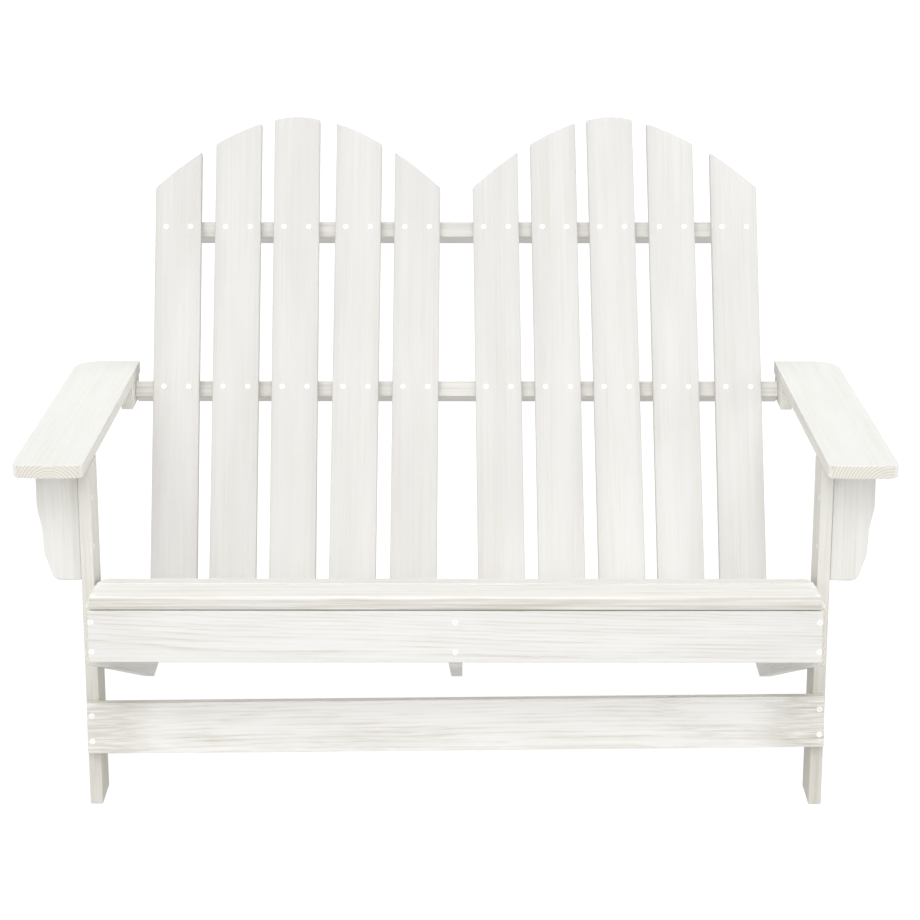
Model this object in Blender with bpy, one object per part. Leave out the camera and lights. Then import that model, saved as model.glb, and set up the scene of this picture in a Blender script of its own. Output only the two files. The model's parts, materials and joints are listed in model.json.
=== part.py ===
"""Two-seat slatted garden bench with a double fan back.

Softwood boards under a thin white wash, screwed together. Metres, +Z up. The front faces -Y, and a
person who sits on the bench has +X on the left hand. The model is laid out from the front face of
the apron (Y = 0) and the floor (Z = 0), and at the end it is moved so that its origin is on the
floor under the middle of the bench.
"""
import bpy
import bmesh
from math import cos, pi, radians, sin, tan
from mathutils import Matrix, Vector

# Timber
BOARD = 0.018                   # thickness of the planed boards
EDGE_ROUND = 0.002              # eased edges
FIT_GAP = 0.0003                # clearance between pieces that touch
CUT_OVERRUN = 0.02              # how far a cut runs past the piece that it cuts

# Stringers, which carry the seat and end in the rear feet
STRINGER_OUTER = 0.512          # from the middle to the outer face of a side stringer
STRINGER_WIDTH = 0.1121
STRINGER_SLOPE = radians(20.16)
FOOT_LENGTH = 0.1722
LEFT_TOE_ROUND = 0.003          # rounding of the rear feet's front corners
CENTRE_TOE_ROUND = 0.020
RIGHT_TOE_ROUND = 0.028

# Seat slats
SEAT_FRONT_HEIGHT = 0.3329      # top of the stringers' line at the front of the apron
SEAT_SLAT_WIDTH = 0.074
SEAT_SLAT_SPACE = 0.008
SEAT_SLAT_INSET = 0.0097        # from a stringer's outer face to the slats' ends
SEAT_SLOPES = (radians(4.0), radians(12.5), radians(17.0)) + (STRINGER_SLOPE,) * 4
NOSE_ROUND = 0.007              # top front edge of the front slat

# Front apron
APRON_WIDTH = 0.0743
APRON_INSET = 0.0063            # from a stringer's outer face to the apron's ends

# Front legs
LEG_WIDTH = 0.075
LEG_SETBACK = 0.1255            # from the apron's front to the front edge of the feet
LEG_RAKE = radians(6.1)         # lean to the back
LEG_SPLAY = radians(1.2)        # lean to the outside

# Lower front rail
RAIL_WIDTH = 0.0742
RAIL_END_INSET = 0.0022         # from a leg's outer face to the rail's end
RAIL_HEIGHT = 0.1206            # middle of the rail above the floor
RAIL_LEAN = radians(0.6)        # its +X end was fixed a little higher

# Arms
ARM_UNDERSIDE = 0.4876
ARM_THICKNESS = 0.0188
ARM_WIDTH = 0.100
ARM_TOE = radians(0.68)         # the arms come closer together to the back
ARM_REVEAL = 0.0015             # from a leg's inner face to the arm's inner edge
ARM_FRONT_OVERHANG = 0.0633     # in front of the leg
ARM_REAR_OVERHANG = 0.0155      # behind the cleat
ARM_FRONT_BOW = 0.005
ARM_BOW_ROUND = 0.200
ARM_INNER_ROUND = 0.014
ARM_OUTER_ROUND = 0.017
ARM_REAR_ROUND = 0.042

# Brackets under the arms
BRACKET_WIDTH = 0.0605
BRACKET_DROP = 0.1625
BRACKET_SETBACK = 0.006         # behind the leg's front edge
BRACKET_CURVE_SHARES = (        # across the width, down the drop, rounding in widths
    (1.00, 0.34, 0.35),
    (0.89, 0.54, 0.50),
    (0.86, 0.76, 0.45),
    (0.64, 1.00, 0.22),
)

# Cleats under the rear of the arms
CLEAT_HEIGHT = 0.035
CLEAT_LENGTH = 0.095
CLEAT_BEHIND_BATTEN = 0.0325    # from the batten's middle to the cleat's rear end

# Back slats in two fans
BACK_RECLINE = radians(25.0)
BACK_CLEARANCE = 0.0170         # from the last seat slat to the front of the back slats
FAN_SLATS = 5
BACK_SLAT_SPACE = 0.0219
FAN_SIDE_CLEARANCE = 0.0099     # beside a side stringer
FAN_CENTRE_CLEARANCE = 0.0206   # beside the centre stringer
BACK_SLAT_TOP = 0.4340          # middle of a fan above the arm underside, along the slats
BACK_SLAT_BELOW_BATTEN = 0.009  # lower ends of the slats below the bottom batten
FAN_DROP = 0.118                # from the middle of a fan's arch to its sides
FAN_ARCH_POWER = 1.75
FAN_TOP_STEPS = 4               # straight pieces in one slat's top edge
BACK_SLAT_LEANS = {             # degrees to +X at the top, as the slats were fixed by eye
    "left": (-0.3, 0.0, 0.0, 0.5, 0.4),
    "right": (-0.8, -0.9, -1.1, -0.8, -0.5),
}
BACK_SLAT_SHIFT_SHARES = {      # shares of the space between two slats, to +X
    "left": (0.01, -0.03, -0.08, 0.00, 0.01),
    "right": (0.01, -0.02, -0.09, -0.13, 0.05),
}

# Back battens
BATTEN_HEIGHT = 0.0245
BATTEN_DEPTH = 0.042
UPPER_BATTEN_BOTTOM = 0.2383    # above the arm underside, along the slats
UPPER_BATTEN_INSET = 0.0086     # from the outermost slat's edge to the batten's end
NOTCH_DEPTH = 0.010             # of the bottom batten's front corner in the stringers

# Screws
HEAD_RADIUS = 0.0041
HEAD_DEPTH = 0.002
SHANK_RADIUS = 0.002
SCREW_SIDES = 6
SLAT_SCREW_LENGTH = 0.030
BOARD_SCREW_LENGTH = 0.034
BRACKET_SCREW_LENGTH = 0.040
BATTEN_SCREW_LENGTH = 0.042
CLEAT_SCREW_LENGTH = 0.047
STRINGER_SCREW_INSET = 0.0108   # from a stringer's outer face to the apron's end screws
SLAT_SCREW_INSET = 0.0135       # from a stringer's outer face to the slats' end screws
APRON_SCREW_SPACING = 0.0427
APRON_SCREW_TOP = 0.0166        # below the apron's top edge
NOSE_SCREW_SETBACK = 0.0115     # front screws of the front slat, over the apron
REAR_SCREW_MARGIN = 0.012       # other slat screws, from the slat's edges
FRONT_SCREW_MARGIN = 0.014
BACK_SCREW_SPREAD = 0.0198      # to each side of a back slat's middle
LEG_SCREW_MARGIN = 0.020        # from the leg's edges
LEG_SCREW_LIFT = 0.0303         # above the lowest place that a leg and its stringer share
LEG_SCREW_RISE = 0.050
RAIL_SCREW_LOW = 0.018          # above the rail's lower edge
RAIL_SCREW_RISE = 0.037
BRACKET_SCREW_TOP = 0.045       # below the arm
BRACKET_SCREW_DROP = 0.070
CLEAT_SCREW_MARGIN = 0.0155     # from the cleat's ends

# Dowels between the arms and what carries them
DOWEL_RADIUS = 0.004
DOWEL_SIDES = 8
DOWEL_IN_ARM = 0.012
DOWEL_BELOW_ARM = 0.022
LEG_DOWEL_MARGIN = 0.019        # from the leg's edges
BRACKET_DOWEL_REACH = 0.032     # from the leg's outer face

# How finely round stretches are drawn
ARC_STEPS = 4
EDGE_STEPS = 1
BEVEL_ANGLE = radians(30.0)

# Finishes: linear colour, roughness, metallic
WASHED_FIR = ((0.84, 0.83, 0.79), 0.62, 0.0)
PAINTED_SCREW = ((0.86, 0.86, 0.84), 0.45, 0.0)
RAW_BEECH = ((0.62, 0.46, 0.28), 0.60, 0.0)

# Ways that a drawn outline is turned: its X and Y, and the direction that it is thickened in
SIDE_ON = Matrix(((0, 0, 1, 0), (1, 0, 0, 0), (0, 1, 0, 0), (0, 0, 0, 1)))
FACE_ON = Matrix(((1, 0, 0, 0), (0, 0, -1, 0), (0, 1, 0, 0), (0, 0, 0, 1)))
LAID_FLAT = Matrix.Identity(4)

SIDES = (("left", -1), ("right", 1))


def clear_scene():
    for thing in list(bpy.data.objects):
        bpy.data.objects.remove(thing, do_unlink=True)


def make_finish(name, finish):
    colour, roughness, metallic = finish
    material = bpy.data.materials.new(name + "_finish")
    material.use_nodes = True
    shader = material.node_tree.nodes["Principled BSDF"]
    shader.inputs["Base Color"].default_value = (*colour, 1.0)
    shader.inputs["Roughness"].default_value = roughness
    shader.inputs["Metallic"].default_value = metallic
    return material


def add_frame(name, parent, placement):
    """An empty that carries the pieces laid out in one plane."""
    frame = bpy.data.objects.new(name, None)
    bpy.context.scene.collection.objects.link(frame)
    frame.parent = parent
    frame.matrix_local = placement
    return frame


def add_mesh_object(name, shape, frame, placement):
    bmesh.ops.recalc_face_normals(shape, faces=shape.faces)
    mesh = bpy.data.meshes.new(name)
    shape.to_mesh(mesh)
    shape.free()
    piece = bpy.data.objects.new(name, mesh)
    bpy.context.scene.collection.objects.link(piece)
    piece.parent = frame
    piece.matrix_local = placement
    return piece


def add_prism(name, outline, low, high, frame, placement):
    """A closed solid over an outline, from low to high along the direction of its thickness."""
    shape = bmesh.new()
    lower = [shape.verts.new((x, y, low)) for x, y in outline]
    face = shape.faces.new(lower)
    grown = bmesh.ops.extrude_face_region(shape, geom=[face])
    upper = [part for part in grown["geom"] if isinstance(part, bmesh.types.BMVert)]
    bmesh.ops.translate(shape, verts=upper, vec=(0, 0, high - low))
    return add_mesh_object(name, shape, frame, placement)


def add_board(name, outline, low, high, frame, placement=LAID_FLAT):
    board = add_prism(name, outline, low, high, frame, placement)
    board.data.materials.append(make_finish(name, WASHED_FIR))
    bevel = board.modifiers.new("eased_edges", "BEVEL")
    bevel.width = EDGE_ROUND
    bevel.segments = EDGE_STEPS
    bevel.limit_method = "ANGLE"
    bevel.angle_limit = BEVEL_ANGLE
    return board


def rectangle(low_x, low_y, high_x, high_y):
    return [(low_x, low_y), (high_x, low_y), (high_x, high_y), (low_x, high_y)]


def rounded_outline(corners):
    """Points of a closed outline. A corner is x, y and its rounding."""
    points = []
    for index, (x, y, rounding) in enumerate(corners):
        corner = Vector((x, y))
        if rounding == 0:
            points.append(corner)
            continue
        to_last = (Vector(corners[index - 1][:2]) - corner).normalized()
        to_next = (Vector(corners[(index + 1) % len(corners)][:2]) - corner).normalized()
        half_angle = to_last.angle(to_next) / 2
        centre = corner + (to_last + to_next).normalized() * rounding / sin(half_angle)
        start = corner + to_last * rounding / tan(half_angle) - centre
        end = corner + to_next * rounding / tan(half_angle) - centre
        turn = start.angle_signed(end)
        for step in range(ARC_STEPS + 1):
            spoke = start.copy()
            spoke.rotate(Matrix.Rotation(-turn * step / ARC_STEPS, 2))
            points.append(centre + spoke)
    return points


def turned_solid(shape, start, heading, rings, sides):
    """Adds a closed solid with the given rings of radius and distance along its heading."""
    across = heading.to_track_quat("Z", "Y").to_matrix()
    loops = []
    for radius, distance in rings:
        loop = []
        for side in range(sides):
            angle = 2 * pi * side / sides
            spoke = across @ Vector((cos(angle), sin(angle), 0)) * radius
            loop.append(shape.verts.new(start + heading * distance + spoke))
        loops.append(loop)
    for near, far in zip(loops, loops[1:]):
        for side in range(sides):
            after = (side + 1) % sides
            shape.faces.new((near[side], near[after], far[after], far[side]))
    shape.faces.new(loops[0])
    shape.faces.new(loops[-1])


def add_turned_group(name, places, frame, make_rings, sides):
    """A helper that holds separate turned solids, to cut holes or to be joined to a piece."""
    shape = bmesh.new()
    for start, heading, length in places:
        turned_solid(shape, Vector(start), Vector(heading), make_rings(length), sides)
    group = add_mesh_object(name, shape, frame, LAID_FLAT)
    hide_cutter(group)
    return group


def add_turned_nodes(name, places, frame, make_rings, sides, finish):
    """Each fastener as a node of its own, numbered from 1."""
    for number, (start, heading, length) in enumerate(places, 1):
        shape = bmesh.new()
        turned_solid(shape, Vector(start), Vector(heading), make_rings(length), sides)
        fastener = add_mesh_object(f"{name}_{number}", shape, frame, LAID_FLAT)
        fastener.data.materials.append(make_finish(fastener.name, finish))


def hide_cutter(cutter):
    cutter.hide_render = True
    cutter.display_type = "WIRE"


def screw_rings(length):
    return [(HEAD_RADIUS, 0), (SHANK_RADIUS, HEAD_DEPTH), (SHANK_RADIUS, length)]


def screw_hole_rings(length):
    side_gap = FIT_GAP / cos(pi / SCREW_SIDES)
    head = HEAD_RADIUS + side_gap
    shank = SHANK_RADIUS + side_gap
    sunk = FIT_GAP / 2
    return [(head, -CUT_OVERRUN), (head, sunk), (shank, HEAD_DEPTH + sunk), (shank, length + FIT_GAP)]


def dowel_rings(length):
    return [(DOWEL_RADIUS, 0), (DOWEL_RADIUS, length)]


def dowel_hole_rings(length):
    radius = DOWEL_RADIUS + FIT_GAP / cos(pi / DOWEL_SIDES)
    return [(radius, -FIT_GAP), (radius, length + FIT_GAP)]


def cut(piece, cutter):
    boolean = piece.modifiers.new("cut_" + cutter.name, "BOOLEAN")
    boolean.operation = "DIFFERENCE"
    boolean.solver = "EXACT"
    boolean.object = cutter


def join(piece, group):
    boolean = piece.modifiers.new("with_" + group.name, "BOOLEAN")
    boolean.operation = "UNION"
    boolean.solver = "EXACT"
    boolean.object = group


def cut_all(pieces, cutter):
    for piece in pieces:
        cut(piece, cutter)


def add_separate_screws(name, places, frame, pieces):
    """Screws as nodes of their own, with their holes in every piece that they pass."""
    add_turned_nodes(name, places, frame, screw_rings, SCREW_SIDES, PAINTED_SCREW)
    cut_all(pieces, add_turned_group(name + "_holes", places, frame, screw_hole_rings, SCREW_SIDES))


def add_joined_screws(name, places, frame, fixed, held):
    """Screws joined to the piece that they are driven into, with their holes in what they hold."""
    cut_all(fixed, add_turned_group(name + "_holes", places, frame, screw_hole_rings, SCREW_SIDES))
    join(held, add_turned_group(name, places, frame, screw_rings, SCREW_SIDES))


class SeatLine:
    """The top edge of the stringers, in Y and Z, where each seat slat starts."""

    def __init__(self):
        pitch = SEAT_SLAT_WIDTH + SEAT_SLAT_SPACE
        self.starts = [Vector((0, SEAT_FRONT_HEIGHT))]
        for slope in SEAT_SLOPES:
            self.starts.append(self.starts[-1] + pitch * Vector((cos(slope), -sin(slope))))
        last = self.starts[-1]
        self.fall = tan(STRINGER_SLOPE)
        self.top_constant = last.y + self.fall * last.x
        self.low_constant = self.top_constant - STRINGER_WIDTH / cos(STRINGER_SLOPE)

    def bends(self):
        """Where the stringers' top edge changes its slope."""
        changes = zip(self.starts[1:], SEAT_SLOPES, SEAT_SLOPES[1:])
        return [start for start, before, after in changes if before != after]

    def front_height(self, y):
        """Height of the first, nearly level stretch."""
        return SEAT_FRONT_HEIGHT - y * tan(SEAT_SLOPES[0])

    def top(self, y):
        return self.top_constant - self.fall * y

    def low(self, y):
        return self.low_constant - self.fall * y

    def last_slat_corner(self):
        """Top rear corner of the last seat slat."""
        slope = SEAT_SLOPES[-1]
        along = Vector((cos(slope), -sin(slope)))
        up = Vector((sin(slope), cos(slope)))
        return self.starts[-2] + along * SEAT_SLAT_WIDTH + up * (BOARD + FIT_GAP)


def add_stringers(bench, line):
    front = BOARD + FIT_GAP
    toe = line.low_constant / line.fall
    heel = toe + FOOT_LENGTH
    inner = STRINGER_OUTER - BOARD
    placed = (
        ("left_stringer", -STRINGER_OUTER, -inner, LEFT_TOE_ROUND),
        ("centre_stringer", -BOARD / 2, BOARD / 2, CENTRE_TOE_ROUND),
        ("right_stringer", inner, STRINGER_OUTER, RIGHT_TOE_ROUND),
    )
    bends = [(point.x, point.y, 0) for point in line.bends()]
    stringers = []
    for name, low, high, toe_round in placed:
        corners = [(front, line.low(front), 0), (toe, 0, toe_round), (heel, 0, 0)]
        corners += [(heel, line.top(heel), 0)]
        corners += reversed(bends)
        corners += [(front, line.front_height(front), 0)]
        outline = rounded_outline(corners)
        stringers.append(add_board(name, outline, low, high, bench, SIDE_ON))
    return stringers


def add_seat(bench, line):
    half_length = STRINGER_OUTER - SEAT_SLAT_INSET
    slats = []
    for index, slope in enumerate(SEAT_SLOPES):
        number = index + 1
        start = line.starts[index]
        placement = Matrix.Translation((0, start.x, start.y)) @ Matrix.Rotation(-slope, 4, "X")
        frame = add_frame(f"seat_slat_{number}_frame", bench, placement)
        nose = NOSE_ROUND if index == 0 else 0
        corners = [
            (0, FIT_GAP, 0),
            (SEAT_SLAT_WIDTH, FIT_GAP, 0),
            (SEAT_SLAT_WIDTH, FIT_GAP + BOARD, 0),
            (0, FIT_GAP + BOARD, nose),
        ]
        outline = rounded_outline(corners)
        slats.append(add_board(f"seat_slat_{number}", outline, -half_length, half_length, frame, SIDE_ON))
    return slats


def add_seat_screws(bench, line, slats, stringers, apron):
    """Two screws at each end of a slat, and one over the centre stringer behind the front slat."""
    reach = STRINGER_OUTER - SLAT_SCREW_INSET
    left, centre, right = stringers
    places = {apron.name: [], left.name: [], centre.name: [], right.name: []}
    for index, slope in enumerate(SEAT_SLOPES):
        along = Vector((0, cos(slope), -sin(slope)))
        down = Vector((0, -sin(slope), -cos(slope)))
        start = Vector((0, line.starts[index].x, line.starts[index].y)) - down * (BOARD + FIT_GAP)
        front = NOSE_SCREW_SETBACK if index == 0 else FRONT_SCREW_MARGIN
        rear = SEAT_SLAT_WIDTH - REAR_SCREW_MARGIN
        for side, stringer in ((-1, left), (1, right)):
            across = Vector((side * reach, 0, 0))
            front_holder = apron if index == 0 else stringer
            places[front_holder.name].append((start + along * front + across, down, SLAT_SCREW_LENGTH))
            places[stringer.name].append((start + along * rear + across, down, SLAT_SCREW_LENGTH))
        if index > 0:
            middle = start + along * SEAT_SLAT_WIDTH / 2
            places[centre.name].append((middle, down, SLAT_SCREW_LENGTH))
    for holder in (apron, left, centre, right):
        add_joined_screws("seat_screws_" + holder.name, places[holder.name], bench, slats, holder)


def add_apron(bench, line, stringers):
    half_length = STRINGER_OUTER - APRON_INSET
    top = line.front_height(BOARD) - FIT_GAP
    outline = rectangle(-half_length, top - APRON_WIDTH, half_length, top)
    apron = add_board("front_apron", outline, -BOARD, 0, bench, FACE_ON)
    reach = STRINGER_OUTER - STRINGER_SCREW_INSET
    high = top - APRON_SCREW_TOP
    heading = (0, 1, 0)
    for x, stringer in zip((-reach, 0, reach), stringers):
        places = []
        for z in (high, high - APRON_SCREW_SPACING):
            places.append(((x, 0, z), heading, BOARD_SCREW_LENGTH))
        add_joined_screws("apron_screws_" + stringer.name, places, bench, [apron], stringer)
    return apron


class LegPlan:
    """Where the raked and splayed legs stand, so that they meet the side stringers."""

    def __init__(self, line):
        self.lean = tan(LEG_RAKE)
        rear = LEG_SETBACK + LEG_WIDTH / cos(LEG_RAKE)
        self.lowest_overlap = (line.low_constant - line.fall * rear) / (1 + line.fall * self.lean)
        self.foot_inner = STRINGER_OUTER + FIT_GAP - self.outward(self.lowest_overlap)
        self.run = ARM_UNDERSIDE / (cos(LEG_RAKE) * cos(LEG_SPLAY))
        self.top_front = LEG_SETBACK + ARM_UNDERSIDE * self.lean
        self.top_inner = self.foot_inner + self.outward(ARM_UNDERSIDE)

    def outward(self, height):
        return height * tan(LEG_SPLAY) / cos(LEG_RAKE)

    def placement(self, side):
        foot = Matrix.Translation((side * self.foot_inner, LEG_SETBACK, 0))
        rake = Matrix.Rotation(-LEG_RAKE, 4, "X")
        splay = Matrix.Rotation(side * LEG_SPLAY, 4, "Y")
        return foot @ rake @ splay


def add_level_cutters(bench, plan):
    """Boxes that cut the legs and brackets level at the floor and under the arms."""
    half_length = plan.top_inner + ARM_WIDTH + CUT_OVERRUN
    front = LEG_SETBACK - CUT_OVERRUN
    rear = plan.top_front + LEG_WIDTH + CUT_OVERRUN
    outline = rectangle(-half_length, front, half_length, rear)
    top = ARM_UNDERSIDE - FIT_GAP
    floor_cut = add_prism("floor_cut", outline, -2 * CUT_OVERRUN, 0, bench, LAID_FLAT)
    arm_cut = add_prism("arm_cut", outline, top, top + 2 * CUT_OVERRUN, bench, LAID_FLAT)
    hide_cutter(floor_cut)
    hide_cutter(arm_cut)
    return floor_cut, arm_cut


def bracket_outline(side, inner, run):
    """Outline of a bracket in a leg's plane, with its curved edge to the outside."""
    corners = [(side * inner, run + CUT_OVERRUN, 0)]
    corners += [(side * (inner + BRACKET_WIDTH), run + CUT_OVERRUN, 0)]
    for width_share, drop_share, round_share in BRACKET_CURVE_SHARES:
        x = side * (inner + BRACKET_WIDTH * width_share)
        corners.append((x, run - BRACKET_DROP * drop_share, BRACKET_WIDTH * round_share))
    corners += [(side * inner, run - BRACKET_DROP, 0)]
    return rounded_outline(corners)


def add_leg_set(bench, plan, side_name, side, stringer, cutters):
    """A leg with its bracket, in the leg's own raked and splayed frame."""
    floor_cut, arm_cut = cutters
    frame = add_frame(side_name + "_leg_frame", bench, plan.placement(side))
    outline = rectangle(0, -CUT_OVERRUN, LEG_WIDTH, plan.run + CUT_OVERRUN)
    faces = sorted((0, side * BOARD))
    leg = add_board(side_name + "_leg", outline, *faces, frame, SIDE_ON)
    cut(leg, floor_cut)
    cut(leg, arm_cut)

    outline = bracket_outline(side, BOARD + FIT_GAP, plan.run)
    front = BRACKET_SETBACK
    bracket = add_board(side_name + "_bracket", outline, -front - BOARD, -front, frame, FACE_ON)
    cut(bracket, arm_cut)

    places = []
    low = plan.lowest_overlap / cos(LEG_RAKE) + LEG_SCREW_LIFT
    for y in (LEG_SCREW_MARGIN, LEG_WIDTH - LEG_SCREW_MARGIN):
        for z in (low, low + LEG_SCREW_RISE):
            places.append(((side * BOARD, y, z), (-side, 0, 0), BOARD_SCREW_LENGTH))
    add_separate_screws(side_name + "_leg_screw", places, frame, (leg, stringer))

    places = []
    for drop in (BRACKET_SCREW_TOP, BRACKET_SCREW_TOP + BRACKET_SCREW_DROP):
        start = (0, front + BOARD / 2, plan.run - drop)
        places.append((start, (side, 0, 0), BRACKET_SCREW_LENGTH))
    add_joined_screws(side_name + "_bracket_screws", places, frame, [leg], bracket)
    return leg, bracket


def add_lower_rail(bench, plan, legs):
    """The rail lies on the raked front edges of the legs, a little crooked."""
    leg_inner = plan.foot_inner + plan.outward(RAIL_HEIGHT)
    half_length = leg_inner + BOARD - RAIL_END_INSET
    reach = leg_inner + BOARD / 2
    run = RAIL_HEIGHT / cos(LEG_RAKE)
    rake = Matrix.Rotation(-LEG_RAKE, 4, "X")
    lean = Matrix.Rotation(-RAIL_LEAN, 4, "Y")
    foot = Matrix.Translation((0, LEG_SETBACK, 0))
    frame = add_frame("lower_rail_frame", bench, foot @ rake @ Matrix.Translation((0, 0, run)) @ lean)
    half = RAIL_WIDTH / 2
    outline = rectangle(-half_length, -half, half_length, half)
    rail = add_board("lower_front_rail", outline, FIT_GAP, FIT_GAP + BOARD, frame, FACE_ON)
    places = []
    for x in (-reach, reach):
        for z in (RAIL_SCREW_LOW - half, RAIL_SCREW_LOW + RAIL_SCREW_RISE - half):
            places.append(((x, -FIT_GAP - BOARD, z), (0, 1, 0), BOARD_SCREW_LENGTH))
    add_separate_screws("lower_rail_screw", places, frame, legs + [rail])


class BackPlan:
    """The reclined plane of the back, from the seat and the space between the stringers."""

    def __init__(self, line):
        corner = line.last_slat_corner()
        slat_front = BACK_CLEARANCE / cos(BACK_RECLINE) + BOARD / cos(BACK_RECLINE)
        rise = ARM_UNDERSIDE - FIT_GAP - corner.y
        self.level = ARM_UNDERSIDE - FIT_GAP
        self.rear = corner.x + slat_front + rise * tan(BACK_RECLINE)
        fan_low = BOARD / 2 + FAN_CENTRE_CLEARANCE
        fan_high = STRINGER_OUTER - BOARD - FAN_SIDE_CLEARANCE
        self.fan_middle = (fan_low + fan_high) / 2
        self.fan_half = (fan_high - fan_low) / 2
        spaces = BACK_SLAT_SPACE * (FAN_SLATS - 1)
        self.slat_width = (fan_high - fan_low - spaces) / FAN_SLATS
        self.slat_pitch = self.slat_width + BACK_SLAT_SPACE
        self.bottom_batten = self.bottom_batten_height(line)
        self.slat_bottom = self.bottom_batten - BACK_SLAT_BELOW_BATTEN
        self.pivot = -BATTEN_HEIGHT / 2

    def bottom_batten_height(self, line):
        """Lower front edge of the bottom batten, sunk in the stringers' top edge, along the slats."""
        fall = line.fall
        reach = cos(BACK_RECLINE) + fall * sin(BACK_RECLINE)
        sunk = line.top(self.rear) - NOTCH_DEPTH - self.level
        return sunk / reach

    def placement(self):
        foot = Matrix.Translation((0, self.rear, self.level))
        return foot @ Matrix.Rotation(-BACK_RECLINE, 4, "X")

    def slat_middles(self, side):
        """Middles of one fan's slats, from -X to +X, if they all stood upright."""
        middle = side * self.fan_middle
        first = middle - self.slat_pitch * (FAN_SLATS - 1) / 2
        return [first + self.slat_pitch * number for number in range(FAN_SLATS)]

    def slat_sets(self, side_name, side):
        """Upright middle, shifted middle at the arm-level batten, and lean of one fan's slats."""
        sets = []
        shares = BACK_SLAT_SHIFT_SHARES[side_name]
        for middle, share, lean in zip(self.slat_middles(side), shares, BACK_SLAT_LEANS[side_name]):
            sets.append((middle, middle + share * BACK_SLAT_SPACE, radians(lean)))
        return sets

    def arch(self, x, side):
        """Height of a fan's arch at x."""
        share = abs(x - side * self.fan_middle) / self.fan_half
        return BACK_SLAT_TOP - FAN_DROP * share ** FAN_ARCH_POWER

    def batten_middle(self):
        """Middle of the arm-level batten, in Y."""
        up = -BATTEN_HEIGHT / 2
        return self.rear + up * sin(BACK_RECLINE) + BATTEN_DEPTH / 2 * cos(BACK_RECLINE)


def add_back_slats(frame, plan):
    slats = []
    half = plan.slat_width / 2
    bottom = plan.slat_bottom - plan.pivot
    for side_name, side in SIDES:
        for number, (upright, middle, lean) in enumerate(plan.slat_sets(side_name, side), 1):
            outline = [(-half, bottom), (half, bottom)]
            for step in range(FAN_TOP_STEPS + 1):
                x = half - plan.slat_width * step / FAN_TOP_STEPS
                outline.append((x, plan.arch(upright + x, side) - plan.pivot))
            name = f"back_slat_{side_name}_{number}"
            pivot = Matrix.Translation((middle, 0, plan.pivot))
            slat_frame = add_frame(name + "_frame", frame, pivot @ Matrix.Rotation(lean, 4, "Y"))
            slats.append(add_board(name, outline, 0, BOARD, slat_frame, FACE_ON))
    return slats


def add_batten(name, half_length, low, frame):
    """A batten behind the back slats, from its lower edge up."""
    outline = rectangle(-half_length, low, half_length, low + BATTEN_HEIGHT)
    return add_board(name, outline, -FIT_GAP - BATTEN_DEPTH, -FIT_GAP, frame, FACE_ON)


def add_back_screws(name, spread, low, frame, plan, slats, batten):
    """Screws through the slats into one batten, at the given spread from each slat's middle."""
    height = low + BATTEN_HEIGHT / 2
    places = []
    for side_name, side in SIDES:
        for _, middle, lean in plan.slat_sets(side_name, side):
            leaned = middle + (height - plan.pivot) * tan(lean)
            for x in spread:
                places.append(((leaned + x, -BOARD, height), (0, 1, 0), BOARD_SCREW_LENGTH))
    add_joined_screws(name, places, frame, slats, batten)


def add_back(bench, plan, arm_level_half, stringers):
    frame = add_frame("back_frame", bench, plan.placement())
    slats = add_back_slats(frame, plan)
    outer_edge = plan.fan_middle + plan.fan_half
    upper = add_batten("upper_back_batten", outer_edge - UPPER_BATTEN_INSET, UPPER_BATTEN_BOTTOM, frame)
    arm_level = add_batten("arm_level_batten", arm_level_half, -BATTEN_HEIGHT, frame)
    bottom = add_batten("bottom_back_batten", STRINGER_OUTER, plan.bottom_batten, frame)

    pair = (-BACK_SCREW_SPREAD, BACK_SCREW_SPREAD)
    add_back_screws("back_screws_upper", pair, UPPER_BATTEN_BOTTOM, frame, plan, slats, upper)
    add_back_screws("back_screws_middle", pair, -BATTEN_HEIGHT, frame, plan, slats, arm_level)
    add_back_screws("back_screws_lower", (0,), plan.bottom_batten, frame, plan, slats, bottom)

    low = plan.bottom_batten - FIT_GAP
    reach = STRINGER_OUTER + CUT_OVERRUN
    outline = rectangle(-reach, low, reach, low + 2 * CUT_OVERRUN)
    notch = add_prism("batten_notch", outline, -2 * FIT_GAP - BATTEN_DEPTH, 0, frame, FACE_ON)
    hide_cutter(notch)
    cut_all(stringers, notch)

    top = plan.bottom_batten + BATTEN_HEIGHT
    middle = FIT_GAP + BATTEN_DEPTH / 2
    reach = STRINGER_OUTER - BOARD / 2
    places = [((x, middle, top), (0, 0, -1), BATTEN_SCREW_LENGTH) for x in (-reach, 0, reach)]
    add_separate_screws("bottom_batten_screw", places, frame, stringers + [bottom])
    return arm_level


class ArmPlan:
    """Where the arms and their cleats lie, from the legs and the arm-level batten."""

    def __init__(self, legs, back):
        self.front = legs.top_front - ARM_FRONT_OVERHANG
        self.cleat_rear = back.batten_middle() + CLEAT_BEHIND_BATTEN
        self.cleat_front = self.cleat_rear - CLEAT_LENGTH
        leg_middle = legs.top_front + LEG_WIDTH / 2
        edge_at_leg = legs.top_inner + ARM_REVEAL
        self.inner_front = edge_at_leg + (leg_middle - self.front) * tan(ARM_TOE)
        self.cleat_inner = self.inner_front - (self.cleat_rear - self.front) * tan(ARM_TOE)
        self.length = (self.cleat_rear + ARM_REAR_OVERHANG - self.front) / cos(ARM_TOE)

    def placement(self, side):
        corner = Matrix.Translation((side * self.inner_front, self.front, ARM_UNDERSIDE))
        return corner @ Matrix.Rotation(side * ARM_TOE, 4, "Z")


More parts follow.
